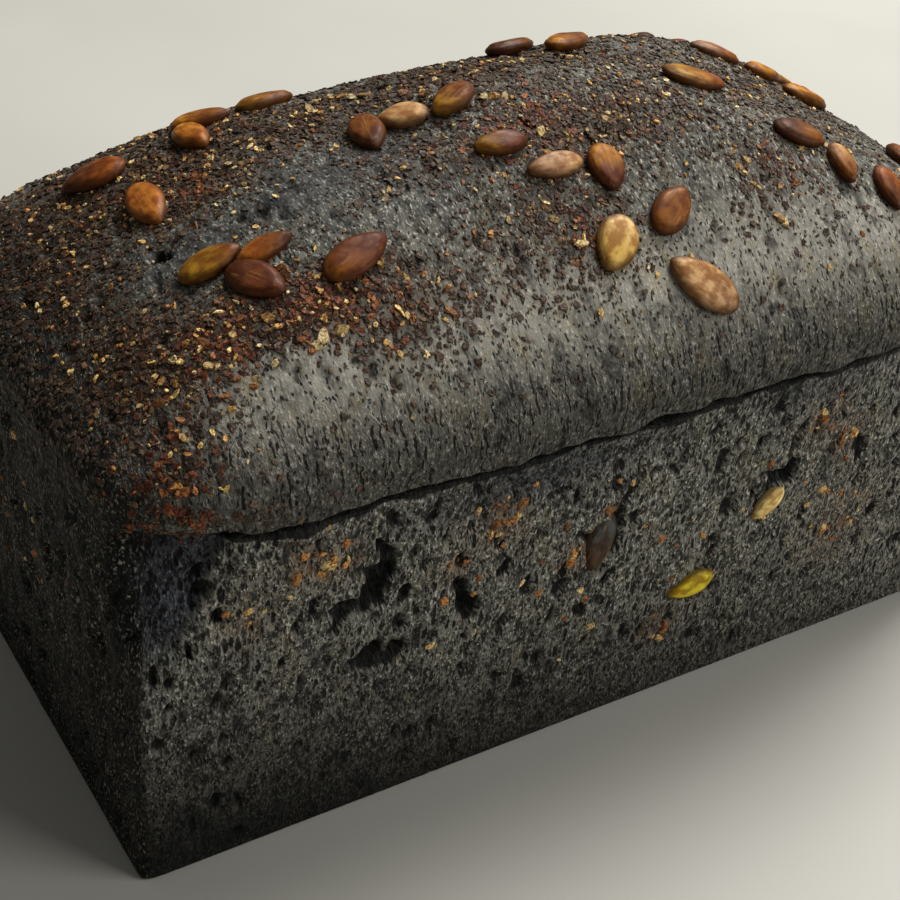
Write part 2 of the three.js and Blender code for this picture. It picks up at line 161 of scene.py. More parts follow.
# Pumpkin seeds on the side that shows: place along, place across, turn in degrees, length, width as a
# share of it, and the tones of the blunt end and of the point
SHOWN_SEEDS = (
    (-75, 25, 345, 13, 0.6, "red", "dark"), (-72, 8, 85, 14, 0.5, "orange", "orange"),
    (-54, 25, 150, 12, 0.55, "gold", "brown"), (-58, 20, 95, 11, 0.55, "gold", "orange"),
    (-42, 23, 180, 12, 0.5, "olive", "brown"), (-71, -16, 175, 12, 0.56, "olive", "brown"),
    (-63, -20, 180, 11, 0.46, "orange", "dark"), (-67, -25, 115, 12, 0.6, "dark", "plum"),
    (-51, -29, 195, 14, 0.5, "brown", "plum"), (-34, -2, 75, 12, 0.56, "brown", "dark"),
    (-27, -2, 335, 10, 0.66, "beige", "beige"), (-18, -4, 25, 11, 0.6, "brown", "olive"),
    (7, 15, 195, 13, 0.5, "dark", "brown"), (16, 9, 200, 13, 0.5, "gold", "brown"),
    (-16, -17, 355, 11, 0.46, "plum", "olive"), (-8, -23, 0, 12, 0.44, "beige", "pink"),
    (2, -25, 80, 10, 0.72, "gold", "plum"), (-3, -37, 40, 12, 0.68, "straw", "khaki"),
    (11, -34, 210, 12, 0.6, "brown", "brown"), (12, -45, 325, 16, 0.52, "pink", "beige"),
    (35, -7, 160, 14, 0.56, "olive", "red"), (62, 18, 165, 13, 0.5, "pink", "red"),
    (74, 15, 185, 12, 0.5, "gold", "brown"), (78, 5, 170, 13, 0.5, "gold", "brown"),
    (49, -24, 160, 12, 0.56, "dark", "brown"), (55, -31, 80, 10, 0.56, "beige", "brown"),
    (64, -36, 80, 11, 0.56, "red", "dark"), (81, -22, 55, 11, 0.56, "dark", "brown"),
)
SEED_TONES = {
    "red": (142, 78, 20), "orange": (170, 104, 36), "gold": (188, 126, 34), "olive": (156, 114, 28),
    "beige": (192, 152, 102), "straw": (222, 188, 126), "khaki": (192, 156, 76), "brown": (126, 75, 22),
    "dark": (86, 46, 16), "plum": (102, 54, 28), "pink": (164, 126, 92), "husk": (250, 228, 150),
    "green": (214, 194, 44), "grey": (70, 75, 74), "bark": (76, 54, 36),
}
# Zones on the slopes that don't show: along, across, how many
FAR_SEED_ZONES = (
    ((-8, 84), (37, 47), 7), ((-52, -14), (41, 47), 3), ((94, 98), (20, 38), 2),
)
FAR_SEED_TRIES = 4
FAR_SEED_LENGTHS = (11, 14)
FAR_SEED_TONES = ("orange", "brown", "gold", "red", "beige", "olive", "dark")
# The point's tone is this many further on in the row than the blunt end's
FAR_SEED_TONE_STEP = 2
# Seeds baked into the walls: wall, along, height, turn in degrees, length, how far out, tones
WALL_SEEDS = (
    ("front", -7, 48, 82, 14, -0.5, "grey", "bark"), ("front", 35, 44, 40, 10, 0.1, "husk", "husk"),
    ("front", 19, 28, 8, 12, 0.1, "green", "green"), ("back", 42, 52, 65, 12, 0.1, "husk", "olive"),
    ("back", -28, 35, 15, 11, 0.0, "green", "olive"), ("right", 12, 46, 50, 12, 0.1, "husk", "gold"),
)
SEED_WIDTH = 0.6
WALL_SEED_WIDTH = 0.5
SEED_THICKNESS = 2.8
SEED_TAPER = 0.12
SEED_POINT = 0.16
SEED_FULLNESS = 1.04
SEED_SWELL = 5
SEED_EDGE = 0.7
# A groove inside the seed's edge: depth, place and reach as shares of the way out
SEED_GROOVE = (0.16, 0.87, 0.06)
SEED_WAVE = 0.1
SEED_WAVE_GRAIN = (3.2, 2.2, 1)
SEED_WAVE_STEP = 7.3
SEED_WAVE_NUMBER = 21
SEED_BENDS = (-0.35, 0.1)
SEED_LIFT = 0.9
SEED_RINGS = 14
SEED_RING_CROWDING = 0.8
SEED_SIDES = 40
# Where along a seed the tone of its point turns into that of its blunt end, and how far that varies
SEED_TURN = (-0.3, 0.35)
SEED_TURN_SPREAD = 0.12
# Keeps each seed's veins its own
SEED_GRAIN_STEP = 17

# Burst bubbles in the walls: wall, along, height, (width, tallness, depth), turn in degrees
PITS = (
    ("front", -56, 56, (6, 10, 4.4), -12), ("front", -62, 52, (7, 6, 3), 40),
    ("front", -50, 51, (3, 5, 3), 0), ("front", -56, 39, (5, 6, 4), 20),
    ("front", -51, 38, (5, 6.5, 4.6), -15), ("front", -36, 43, (3.6, 8.5, 4.4), 22),
    ("front", -9, 32, (4, 4, 2.4), 0), ("front", 39, 51, (4.4, 6, 6), -25),
    ("front", 36, 50, (5, 5, 4), 30), ("front", -4, 51, (3, 13, 2.4), -6),
    ("front", -47, 46, (2, 4, 2), 10), ("front", -29, 49, (3, 5, 2.6), -20),
    ("back", -62, 54, (6, 9, 4.4), 15), ("back", -54, 47, (4, 6, 3.4), -20),
    ("back", 12, 44, (4, 8, 4), 10), ("back", 63, 36, (6, 5, 3.4), 0),
    ("right", -18, 55, (5, 8, 4), -10), ("right", 22, 32, (4, 5, 3), 25),
    ("left", 14, 50, (4, 7, 3.4), 12),
)
WALL_TURNS = {"front": 0, "right": 90, "back": 180, "left": 270}
# How ragged a pit's edge is, how far it can reach, how full and how sharp-edged it is
PIT_RAGGED = 0.85
PIT_REACH = 6
PIT_FILL = 0.75
PIT_EDGE = 0.6
# Small pits by rule: how many on each wall, their sizes and heights from and to, how they crowd upwards,
# how far from the wall's ends they stay, and the mean and spread of their lean in degrees
WALL_PITS = {"front": 260, "right": 120, "back": 260, "left": 90}
WALL_PIT_SIZES = ((1.4, 2.8), (2.4, 5.5), (0.9, 2.0))
WALL_PIT_HEIGHTS = (4, 71)
WALL_PIT_CROWDING = 1.5
WALL_PIT_MARGIN = 3
WALL_PIT_LEAN = (-6, 14)
DOME_PIT_COUNT = 380
DOME_PIT_SIZES = ((1.5, 2.4), (2.2, 5.0), (0.6, 1.4))
DOME_PIT_REACH = (96, 51)
DOME_PIT_LEAN = (90, 18)
# The walls' pits end this far below the crease, and the dome's pores this far below the rim
WALL_PIT_DROP = 1
DOME_PIT_DROP = 4

# Larger holes in the dome: plan position, (along, across, depth)
DOME_PITS = (
    ((-76, -6), (4, 4, 2.4)), ((-73, -5), (3, 2, 1.6)), ((-59, -10), (3, 4, 1.4)),
    ((-57, -14), (2, 4, 1.2)), ((-62, -9), (3, 3, 1.2)), ((-30, -17), (3, 5, 1.2)),
    ((34, 30), (4, 4, 2)),
)

# The solid's drifts, where the largest flakes lie: plan position, reach along and across, share
DRIFTS = (
    ((-74, -31), (13, 6), 5), ((-84, -42), (8, 6), 4), ((-50, -38), (10, 6), 4), ((-64, 2), (9, 6), 2),
    ((-5, -14), (14, 8), 4), ((-8, -36), (7, 6), 2), ((-28, 12), (20, 7), 3), ((38, -30), (15, 9), 3),
    ((30, 34), (26, 8), 4), ((-50, 36), (20, 8), 3), ((0, 0), (70, 32), 8),
)
DRIFT_REACHES = 2
DRIFT_LIMIT = 0.93
BIG_FLAKE_COUNT = 60
BIG_FLAKE_LENGTHS = (2.0, 3.4)
# The solid draws a flake's length, the turn of its corners, its tilt and its heading. Only the length and
# the heading are used here.
BIG_FLAKE_DRAWS = 4
FLAKE_WIDTH = 0.62
PLATE_TOP = 0.86
# The largest flakes are this much darker than the rest
LARGE_FLAKE_SHADE = 0.6

# Bran as it shows, in finer drifts: plan position, reach, share. The thin scatter covers the whole dome.
FINE_DRIFTS = (
    ((-84, 22), (13, 16), 24), ((-92, -2), (7, 16), 10), ((-88, -26), (8, 10), 13),
    ((-74, -31), (9, 5), 11), ((-60, -34), (8, 4), 9), ((-48, -38), (8, 5), 9), ((-92, -46), (5, 4), 5),
    ((-66, 4), (8, 6), 8), ((-58, 20), (14, 10), 15), ((-40, 10), (14, 7), 11), ((-30, -14), (8, 6), 3),
    ((-12, 6), (12, 7), 10), ((-10, -14), (10, 5), 8), ((3, -16), (9, 5), 9), ((18, -14), (11, 6), 8),
    ((12, 4), (14, 6), 8), ((-14, -30), (9, 6), 5), ((-30, -36), (10, 5), 3), ((-5, -34), (8, 6), 5),
    ((36, -30), (10, 7), 6), ((44, 0), (16, 10), 9), ((58, -18), (10, 10), 5), ((20, 32), (36, 10), 20),
    ((-45, 38), (26, 8), 14), ((74, 16), (14, 18), 10),
)
THIN_SCATTER = ((-10, -2), (66, 30), 56)
DRIFT_TRIES = 2
DRIFT_SPREAD = 0.92
DRIFT_MARGIN = 1
DRIFT_EDGE = 0.99
# Patches that the bran leaves bare: plan position, reach
BARE_PATCHES = (
    ((-74, -10), (9, 4)), ((-53, -11), (7, 5)), ((-38, -24), (6, 5)), ((-67, -42), (10, 3)),
    ((22, -30), (8, 5)),
)
BARE_SHARE = 0.95
# Scattered things are dropped onto the crust from this far above the smooth shape
DROP_FROM = 4
# Bran over the edges of the ends: middle, reach, how many
EDGE_DRIFTS = (
    ((-103, -4, 86), (4, 40, 6), 420), ((-93, -48, 82), (8, 7, 6), 150),
    ((-80, -54, 82), (10, 4, 5), 40), ((103, 6, 88), (4, 36, 5), 220),
)
EDGE_SHIFT = 0.4
EDGE_LIFT = 0.06
# Where the bran is rust red: plan position, reach
RUST_SPOTS = (
    ((-93, -48), 8), ((-60, -33), 7), ((-77, -33), 6), ((-65, 6), 5), ((-50, -36), 5), ((-9, -14), 8),
    ((-9, -36), 5), ((40, -30), 5), ((34, 36), 12),
)
RUST_CHANCE = 0.8
RUST_TONES = ((114, 60, 34), (84, 43, 27), (142, 86, 46), (66, 37, 25), (98, 53, 31))
# Loose chips outside the drifts are dusted with crumb
DUSTY_TONE = (90, 79, 69)
DUSTY_SHARE = 0.6
# How far each piece's tone strays, and how much wider than the chips the crumbs spread
TONE_SPREAD = (0.75, 1.25)
CRUMB_SPREAD = 1.3
# Grain specks in the walls: wall, along, height, reach, how many
SPECKS = (
    ("front", -64, 64, 4, 8), ("front", -70, 66, 4, 6), ("front", -80, 56, 4, 6),
    ("front", -31, 61, 6, 16), ("front", -39, 54, 3, 5), ("front", 46, 62, 5, 10),
    ("front", 54, 55, 4, 7), ("front", 58, 32, 9, 14), ("front", 12, 19, 4, 6),
    ("front", -12, 46, 3, 5), ("front", -6, 55, 1, 3), ("front", 22, 27, 3, 4),
    ("front", 0, 42, 60, 40), ("back", -30, 60, 8, 14), ("back", 40, 58, 8, 14),
    ("back", 0, 42, 60, 40), ("right", 0, 52, 26, 26), ("left", -10, 52, 26, 22),
)
SPECK_SIZES = (1.2, 3.0)
SPECK_CROWDING = 0.7
SPECK_WIDTHS = (0.5, 0.9)
SPECK_THICKNESSES = (0.4, 0.6)
SPECK_SPREAD = 0.6
SPECK_TALLEST = 16
SPECK_HEIGHTS = (4, 72)
SPECK_MARGIN = 6
SPECK_SINK = 0.15
SPECK_UNEVENNESS = 0.3
SPECK_TONES = ((186, 132, 74), (160, 106, 56), (208, 168, 102), (134, 88, 52), (228, 198, 130))
# Clusters of specks narrower than this stain the crumb
STAIN_LIMIT = 12
STAIN_MARGIN = 1

# The numbers that start the random draws
SOLID_DRAWS = 20
LOAF_DRAWS = 31
SEED_DRAWS = 47
SPECK_DRAWS = 64

# Patterns of the crust: scales in waves or cells a millimetre, how many millimetres the mottling shifts
# the pores, and how the large pores are drawn out
MOTTLE_SCALE = 0.85
MOTTLE_SHIFT = 1.5
FLECK_SCALE = 2.2
PATCH_SCALE = 0.2
LARGE_PORE_SCALE = 0.55
LARGE_PORE_STRETCH = (1.2, 1.0, 0.72)
SMALL_PORE_SCALE = 1.6
# Where a pattern counts: from none to full, and the shares there if they aren't 0 and 1
BANDS = {
    "wall mottle": (0.36, 0.64), "dome mottle": (0.36, 0.62),
    "thread": (0.57, 0.65), "thread mottle": (0.34, 0.54, 0.35, 1), "end thread": (0.38, 0.6, 0.15, 1),
    "cut": (0.44, 0.35), "lip cut": (0.1, 0.8, 0.4, 0.85),
    # The last band here shapes shade painted into the pits and the crease's slot
    "scorch": (0.5, 0.3), "olive": (0.5, 0.7), "stain": (0.4, 0.6), "cavity_shade": (0.35, 1.1),
    # These bands place a painted highlight round the pores' rims
    "rim inside": (0.3, 0.42), "rim outside": (0.62, 0.48),
    # These bands place painted shade in the walls' pores
    "burst": (0.4, 0.24), "burst chance": (0.42, 0.5),
    "burst low": (0.2, 0.9, 1, 0.25), "burst patch": (0.62, 0.46, 0.2, 1),
    # These bands place painted crescent shadows on one side of the dome's pores
    "arc inside": (0.2, 0.3), "arc outside": (0.52, 0.4), "arc side": (0.1, -0.3),
    "arc chance": (0.24, 0.34), "arc lip": (0, 0.6, 0.3, 1),
    # These bands place painted shade in the small pores
    "small": (0.5, 0.26), "small wall chance": (0.4, 0.5), "small dome chance": (0.54, 0.64),
    "roughness": (0.3, 0.8, 0.95, 0.6), "lip bump": (0.1, 0.8, 0.3, 0.75),
    "seed mottle": (0.35, 0.68), "seed vein": (0.58, 0.75, 0, 0.5), "seed edge": (0.74, 0.97, 0, 0.7),
    "seed roughness": (0.3, 0.7, 0.55, 0.4), "grain mottle": (0.36, 0.6), "floor haze": (0.3, 0.7),
}
WALL_TONES = ((50, 50, 46), (122, 121, 112))
DOME_TONES = ((70, 70, 65), (104, 102, 94))
# Coats laid over the crust's ground one by one: tone, strength, and how it mixes. Some are painted light
# and shade, as noted above their lines.
CRUST_COATS = {
    "cut": ((14, 14, 12), 1, "MIX"), "thread": ((202, 200, 187), 1, "MIX"),
    # The first here is a painted highlight along the shoulders
    "painted_highlight": ((164, 160, 149), 0.54, "MIX"), "scorch": ((20, 20, 19), 0.75, "MIX"),
    "olive": ((238, 226, 194), 0.7, "MULTIPLY"), "rust": ((112, 72, 36), 0.6, "MIX"),
    # Both here are painted: a highlight round the pores, then shade in them and crescent shadows beside the
    # dome's pores
    "rim": ((158, 156, 144), 1, "MIX"), "pore_shade": ((9, 9, 8), 0.94, "MIX"),
    # The first here is shade painted into the pits and the crease's slot
    "cavity_shade": ((8, 8, 9), 0.94, "MIX"), "torn": ((136, 142, 166), 0.9, "MULTIPLY"),
    # The second here is painted shade on the lip above the crease
    "bran": ((50, 34, 22), 0.55, "MIX"), "lip": ((110, 110, 105), 0.56, "MULTIPLY"),
    # The first here is painted shade near the foot, more towards the left, and on both ends
    "painted_shade": ((60, 60, 57), 1, "MULTIPLY"), "end thread": ((144, 141, 126), 0.85, "MIX"),
}
# Shares of the patterns on the walls, the lip and the ends (the pores' painted rim highlights on the walls
# and the lip, and the painted shade on the ends), and of the threads on the walls and the dome
WALL_CUTS = 0.82
THREAD_SHARES = (0.9, 0.66)
WALL_RIM_HIGHLIGHTS = 0.4
LIP_RIM_HIGHLIGHTS = 0.25
END_SHADE = 0.92
WALL_BUMP = 0.95
HOLE_BUMP = 0.8
# Finish of the crust, the seeds and the grain: gleam, the bump's height in metres and its share, patterns
# and tones. The grain's roughness varies about the values given for each kind of it.
CRUST_GLEAM = 0.2
CRUST_BUMP = 0.0007
SEED_GLEAM = 0.13
SEED_BUMP = 0.00025
SEED_BUMP_SHARE = 0.35
GRAIN_GLEAM = 0.2
GRAIN_BUMP = 0.0002
GRAIN_BUMP_SHARE = 0.5
GRAIN_ROUGHNESS = {"bran_flake": 0.55, "bran_chip": 0.6, "bran_crumb": 0.65, "grain_speck": 0.6}
GRAIN_ROUGH_BAND = (0.3, 0.7)
GRAIN_DULLER = 0.15
GRAIN_SMOOTHER = 0.1
GRAIN_SCALE = 2.2
SEED_VEINS = (0.18, 1.9, 1)
SEED_VEIN_SHARE = 0.35
SEED_MOTTLE = (0.45, 0.6, 1)
SEED_SHADE = (186, 160, 140)
SEED_VEIN_TONE = (214, 166, 92)
SEED_EDGE_TONE = (56, 28, 12)
GRAIN_SHADE = (150, 136, 124)

# The stage, with the lights in metres
FLOOR_HALF = 4000
FLOOR_HAZE_SCALE = 6
FLOOR_TONES = ((166, 165, 158), (174, 173, 166))
FLOOR_ROUGHNESS = 0.6
# Lights: name, place, size, watts, colour
LIGHTS = (
    ("key", (0.72, 0.42, 1.2), 0.75, 30, (1.0, 0.98, 0.94)),
    ("front_fill", (0.66, -0.8, 0.72), 0.6, 7.5, (1.0, 0.98, 0.95)),
)
LIGHTS_AIM = (0, 0, 0.05)
SKY_COLOUR = (1.0, 0.99, 0.96, 1.0)
SKY_STRENGTH = 0.17

# The camera, fitted to the photograph
CAMERA_AT = (-178.566, -247.153, 250.859)
CAMERA_RIGHT = (0.85242, -0.51633, 0.08238)
CAMERA_UP = (0.24504, 0.53367, 0.80941)
CAMERA_LENS = 69.63
CAMERA_SENSOR = 36
CAMERA_NEAREST = 0.01


class Kind(NamedTuple):
    """One kind of bran. Pairs are from and to, widths are shares of the length, the tilt is radians."""

    draws: int
    count: int
    lengths: tuple
    crowding: float
    widths: tuple
    thicknesses: tuple
    lifts: tuple
    tilt: float
    unevenness: float
    sides: int
    tones: tuple


CHIPS = Kind(
    draws=53, count=9600, lengths=(0.6, 2.1), crowding=0.8, widths=(0.5, 0.95), thicknesses=(0.16, 0.34),
    lifts=(0, 0.14), tilt=0.34, unevenness=0.4, sides=5,
    tones=((74, 48, 30), (62, 43, 28), (50, 39, 28), (110, 82, 52), (84, 49, 29), (72, 58, 41),
           (54, 33, 21)),
)
CRUMBS = Kind(
    draws=67, count=12000, lengths=(0.35, 0.95), crowding=0.8, widths=(0.45, 0.9), thicknesses=(0.12, 0.26),
    lifts=(0, 0.1), tilt=0.4, unevenness=0.35, sides=4,
    tones=((72, 47, 30), (58, 41, 27), (52, 43, 33), (130, 102, 62), (96, 57, 32), (180, 152, 98),
           (60, 37, 23)),
)
FLAKES = Kind(
    draws=59, count=900, lengths=(0.7, 1.8), crowding=0.7, widths=(0.7 * FLAKE_WIDTH, 1.2 * FLAKE_WIDTH),
    thicknesses=(0.2, 0.4), lifts=(0.1, 0.3), tilt=0.45, unevenness=0.3, sides=6,
    tones=((220, 184, 110), (232, 208, 150), (226, 194, 124), (196, 146, 76), (160, 104, 58)),
)


def mix(low, high, share):
    return low + (high - low) * share


def smooth(value, low, high):
    share = np.clip((value - low) / (high - low), 0, 1)
    return share * share * (3 - 2 * share)


def nearness(places, at, reach):
    """1 in the middle of a spot, fading out over its reach along each axis."""
    return np.exp(-(((places - np.asarray(at, float)) / np.asarray(reach, float)) ** 2).sum(-1))


def peak(value, at, reach):
    """1 at one value, fading out over its reach."""
    return np.exp(-(((value - at) / reach) ** 2))


def power_norm(u, v, power):
    return (np.abs(u) ** power + np.abs(v) ** power) ** (1 / power)


def unit(vectors):
    return vectors / np.linalg.norm(vectors, axis=-1, keepdims=True)


def random_row(seed):
    """Random numbers from 0 to 1 by the mulberry32 rule, the same row of them each time."""
    mask = 0xFFFFFFFF
    state = seed
    while True:
        state = (state + 0x6D2B79F5) & mask
        bits = ((state ^ (state >> 15)) * (state | 1)) & mask
        bits ^= (bits + (bits ^ (bits >> 7)) * (bits | 61)) & mask
        yield ((bits ^ (bits >> 14)) & mask) / 2**32


def hashed(key, seed):
    """A fixed number from -1 to 1 for each corner of the lattice, its bits well mixed."""
    bits = key[:, 0] * 73856093 ^ key[:, 1] * 19349663 ^ key[:, 2] * 83492791 ^ seed * 2654435761
    bits = ((bits ^ (bits >> 13)) * 1274126177) & 0x7FFFFFFF
    bits = ((bits ^ (bits >> 15)) * 374761393) & 0x7FFFFFFF
    return (bits ^ (bits >> 16)) / 2**30 - 1


def lattice_noise(points, cell, seed):
    """Smooth noise from -1 to 1 with the given grain along X, Y and Z."""
    place = points / np.asarray(cell, float)
    low = np.floor(place).astype(np.int64)
    share = smooth(place - low, 0, 1)
    total = np.zeros(len(points))
    for corner in np.ndindex(2, 2, 2):
        weight = np.prod(np.where(corner, share, 1 - share), axis=1)
        total += weight * hashed(low + np.array(corner), seed)
    return total


def layered(points, layers):
    """Several layers of noise in one."""
    return sum(height * lattice_noise(points, grain, number) for height, grain, number in layers)


def way_to_rim(x, y):
    u = x / RIM_HALF_LENGTH
    v = y / RIM_HALF_WIDTH
    square = np.minimum(power_norm(u, v, RIM_SQUARENESS), 1)
    rounded = power_norm(u, v, CROWN_SQUARENESS)
    return np.minimum(mix(rounded, square, square**RIM_BLEND_POWER), 1)


def dome_height(x, y):
    way = way_to_rim(x, y)
    rise = (1 - way**DOME_PROFILE) ** (1 / DOME_PROFILE)
    plan = np.stack([x, y], -1)
    swell = sum(height * nearness(plan, at, reach) for at, reach, height in SWELLS)
    return RIM_HEIGHT + DOME_RISE * rise + swell * (1 - way**SWELL_FADE_POWER)


def wall_flare(z):
    return WALL_FLARE * np.minimum(z / CREASE_HEIGHT, 1) ** FLARE_POWER


def grid_line(index, count):
    even = 2 * index / count - 1
    return mix(even, np.sin(even * math.pi / 2), EDGE_CROWDING)


def grid_edge():
    """The grid's outer places in order, once round."""
    across = np.arange(COLUMNS)
    up = np.arange(ROWS)
    front = np.stack([across, np.zeros(COLUMNS, int)], 1)
    right = np.stack([np.full(ROWS, COLUMNS), up], 1)
    back = np.stack([COLUMNS - across, np.full(COLUMNS, ROWS)], 1)
    left = np.stack([np.zeros(ROWS, int), ROWS - up], 1)
    return np.concatenate([front, right, back, left])


def side_rows(crease):
    """Heights, outsets, lip shares and squarenesses of the side's rows, for each crease strength."""
    count = len(crease)
    foot = np.arange(FOOT_STEPS) / FOOT_STEPS * math.pi / 2
    wall = np.linspace(FOOT_ROUND, CREASE_HEIGHT - CREASE_GAPE, WALL_STEPS + 1)
    slot = np.arange(1, CREASE_STEPS + 1) / CREASE_STEPS
    lip = np.arange(1, LIP_STEPS + 1) / LIP_STEPS
    z = [FOOT_ROUND * (1 - np.cos(foot)), wall]
    z.append(CREASE_HEIGHT + CREASE_GAPE * (2 * slot - 1))
    z.append(mix(CREASE_HEIGHT + CREASE_GAPE, RIM_HEIGHT, lip))
    groove = peak(slot, 0.5, CREASE_WIDTH)
    outset = [np.tile(-FOOT_ROUND * (1 - np.sin(foot)), (count, 1)), np.tile(wall_flare(wall), (count, 1))]
    outset.append(WALL_FLARE - CREASE_CUT * crease[:, None] * groove)
    outset.append(np.full((count, LIP_STEPS), float(WALL_FLARE)))
    edge = mix(LIP_SOFT_EDGE, LIP_EDGE, crease)[:, None]
    soft = (LIP_SOFT_EDGE * (1 - crease))[:, None]
    share = [np.zeros((count, FOOT_STEPS + WALL_STEPS + 1))]
    share.append(np.where(slot < 0.5, soft * slot * 2, mix(soft, edge, np.sqrt(np.abs(2 * slot - 1)))))
    share.append(mix(edge, 1, 1 - (1 - lip) ** 2))
    softened = smooth(wall, CORNER_SOFTENING_FROM, CREASE_HEIGHT) ** CORNER_SOFTENING_POWER
    squareness = [np.full(FOOT_STEPS, FOOT_SQUARENESS), mix(FOOT_SQUARENESS, CREASE_SQUARENESS, softened)]
    squareness.append(np.full(CREASE_STEPS, CREASE_SQUARENESS))
    squareness.append(mix(CREASE_SQUARENESS, RIM_SQUARENESS, lip))
    join = np.concatenate
    return join(z), join(outset, 1), join(share, 1), join(squareness)


def side_points(dx, dy):
    """The side's points, one row of them for each place round the loaf."""
    crease = mix(1, END_CREASE, smooth(np.abs(dx), *CREASE_FADE))
    z, outset, lip, squareness = side_rows(crease)
    dx = dx[:, None]
    dy = dy[:, None]
    norm = power_norm(dx, dy, squareness)
    half_length = BASE_LENGTH / 2 + outset + lip * END_OVERHANG
    half_width = BASE_WIDTH / 2 + outset + lip * SIDE_OVERHANG
    out_x = np.sign(dx) * np.abs(dx) ** (squareness - 1) / half_length
    out_y = np.sign(dy) * np.abs(dy) ** (squareness - 1) / half_width
    x = half_length * dx / norm
    y = half_width * dy / norm
    points = np.stack([x, y, np.broadcast_to(z, x.shape)], -1)
    hollow = sum(depth * nearness(points, at, reach) for at, reach, depth in HOLLOWS)
    inset = hollow / np.hypot(out_x, out_y)
    points[..., 0] -= inset * out_x
    points[..., 1] -= inset * out_y
    return points


def grid_quads(lines, beside):
    """Faces that join each line of point numbers to the line beside it."""
    corners = [lines[:, :-1], beside[:, :-1], beside[:, 1:], lines[:, 1:]]
    return np.stack(corners, -1).reshape(-1, 4)


def loaf_grid():
    """The bare loaf's points and faces: side, dome and underside as one closed mesh."""
    edge = grid_edge()
    side = side_points(grid_line(edge[:, 0], COLUMNS), grid_line(edge[:, 1], ROWS))
    places, rows = side.shape[:2]
    index = np.arange(places * rows).reshape(places, rows)
    after = np.roll(index, -1, axis=0)

    column, row = np.meshgrid(np.arange(1, COLUMNS), np.arange(1, ROWS), indexing="ij")
    u = grid_line(column.ravel(), COLUMNS)
    v = grid_line(row.ravel(), ROWS)
    share = np.maximum(np.maximum(np.abs(u), np.abs(v)), TINY)
    norm = np.maximum(power_norm(u / share, v / share, RIM_SQUARENESS), TINY)
    x = RIM_HALF_LENGTH * u / norm
    y = RIM_HALF_WIDTH * v / norm
    dome = np.stack([x, y, dome_height(x, y)], 1)
    table = np.zeros((COLUMNS + 1, ROWS + 1), int)
    table[edge[:, 0], edge[:, 1]] = index[:, -1]
    table[1:-1, 1:-1] = places * rows + np.arange(len(dome)).reshape(column.shape)

    points = np.concatenate([side.reshape(-1, 3), dome, [[0, 0, 0]]])
    middle = len(points) - 1
    under = np.stack([np.full(places, middle), after[:, 0], index[:, 0]], 1)
    return points, np.concatenate([grid_quads(index, after), grid_quads(table[:-1], table[1:])]), under


def point_normals(points, quads):
    corners = points[quads]
    faces = np.cross(corners[:, 2] - corners[:, 0], corners[:, 3] - corners[:, 1])
    normals = np.zeros_like(points)
    for corner in range(4):
        np.add.at(normals, quads[:, corner], faces)
    return normals / np.maximum(np.linalg.norm(normals, axis=1, keepdims=True), TINY)


def wall_sizes(wall):
    """How long a wall is, and how far it stands from the one opposite."""
    return (BASE_LENGTH, BASE_WIDTH) if wall in ("front", "back") else (BASE_WIDTH, BASE_LENGTH)


def wall_frame(wall, along, height, turn=0, lift=0):
    """Origin and axes on a wall: along it to the right, up, and out."""
    angle = math.radians(WALL_TURNS[wall])
    right = np.array([math.cos(angle), math.sin(angle), 0])
    out = np.array([math.sin(angle), -math.cos(angle), 0])
    up = np.array([0, 0, 1.0])
    outward = wall_sizes(wall)[1] / 2 + wall_flare(height) + lift
    spin = math.radians(turn)
    first = right * math.cos(spin) + up * math.sin(spin)
    second = up * math.cos(spin) - right * math.sin(spin)
    return right * along + out * outward + up * height, np.stack([first, second, out])


def dome_frames(x, y, turn, lift=0):
    """Origins and axes on the dome: heading, across it, and the crust's normal."""
    slope_x = (dome_height(x + SLOPE_STEP, y) - dome_height(x - SLOPE_STEP, y)) / (2 * SLOPE_STEP)
    slope_y = (dome_height(x, y + SLOPE_STEP) - dome_height(x, y - SLOPE_STEP)) / (2 * SLOPE_STEP)
    normal = unit(np.stack([-slope_x, -slope_y, np.ones_like(slope_x)], -1))
    climb = np.cos(turn) * slope_x + np.sin(turn) * slope_y
    heading = unit(np.stack([np.cos(turn), np.sin(turn), climb], -1))
    origin = np.stack([x, y, dome_height(x, y)], -1) + normal * np.asarray(lift)[..., None]
    return origin, np.stack([heading, np.cross(normal, heading), normal], -2)


def pit_depths(points, ragged, origin, axes, size):
    """How deep a pit presses each point in: a half ellipsoid with an uneven edge."""
    width, tall, depth = size
    local = (points - origin) @ axes.T
    spread = (local[:, 0] / (width / 2)) ** 2 + (local[:, 1] / (tall / 2)) ** 2
    spread = spread * (1 + PIT_RAGGED * ragged)
    near = np.abs(local[:, 2]) < PIT_REACH
    return np.where(near, depth * PIT_FILL * np.clip(1 - spread, 0, 1) ** PIT_EDGE, 0)


def pressed(points, ragged, pits, reach):
    """How deep the deepest of the pits within reach presses each point in."""
    depth = np.zeros(len(points))
    for origin, axes, size in pits:
        box = np.flatnonzero(np.abs(points - origin).max(1) < reach)
        depth[box] = np.maximum(depth[box], pit_depths(points[box], ragged[box], origin, axes, size))
    return depth


def small_wall_pits(rng):
    """The small pits' origins, axes and sizes, wall by wall."""
    for wall, count in WALL_PITS.items():
        half = wall_sizes(wall)[0] / 2 - WALL_PIT_MARGIN
        alongs = rng.uniform(-half, half, count)
        heights = mix(*WALL_PIT_HEIGHTS, rng.power(WALL_PIT_CROWDING, count))
        sizes = np.stack([rng.uniform(*limits, count) for limits in WALL_PIT_SIZES], 1)
        turns = rng.normal(*WALL_PIT_LEAN, count)
        for along, height, size, turn in zip(alongs, heights, sizes, turns):
            yield (*wall_frame(wall, along, height, turn), size)


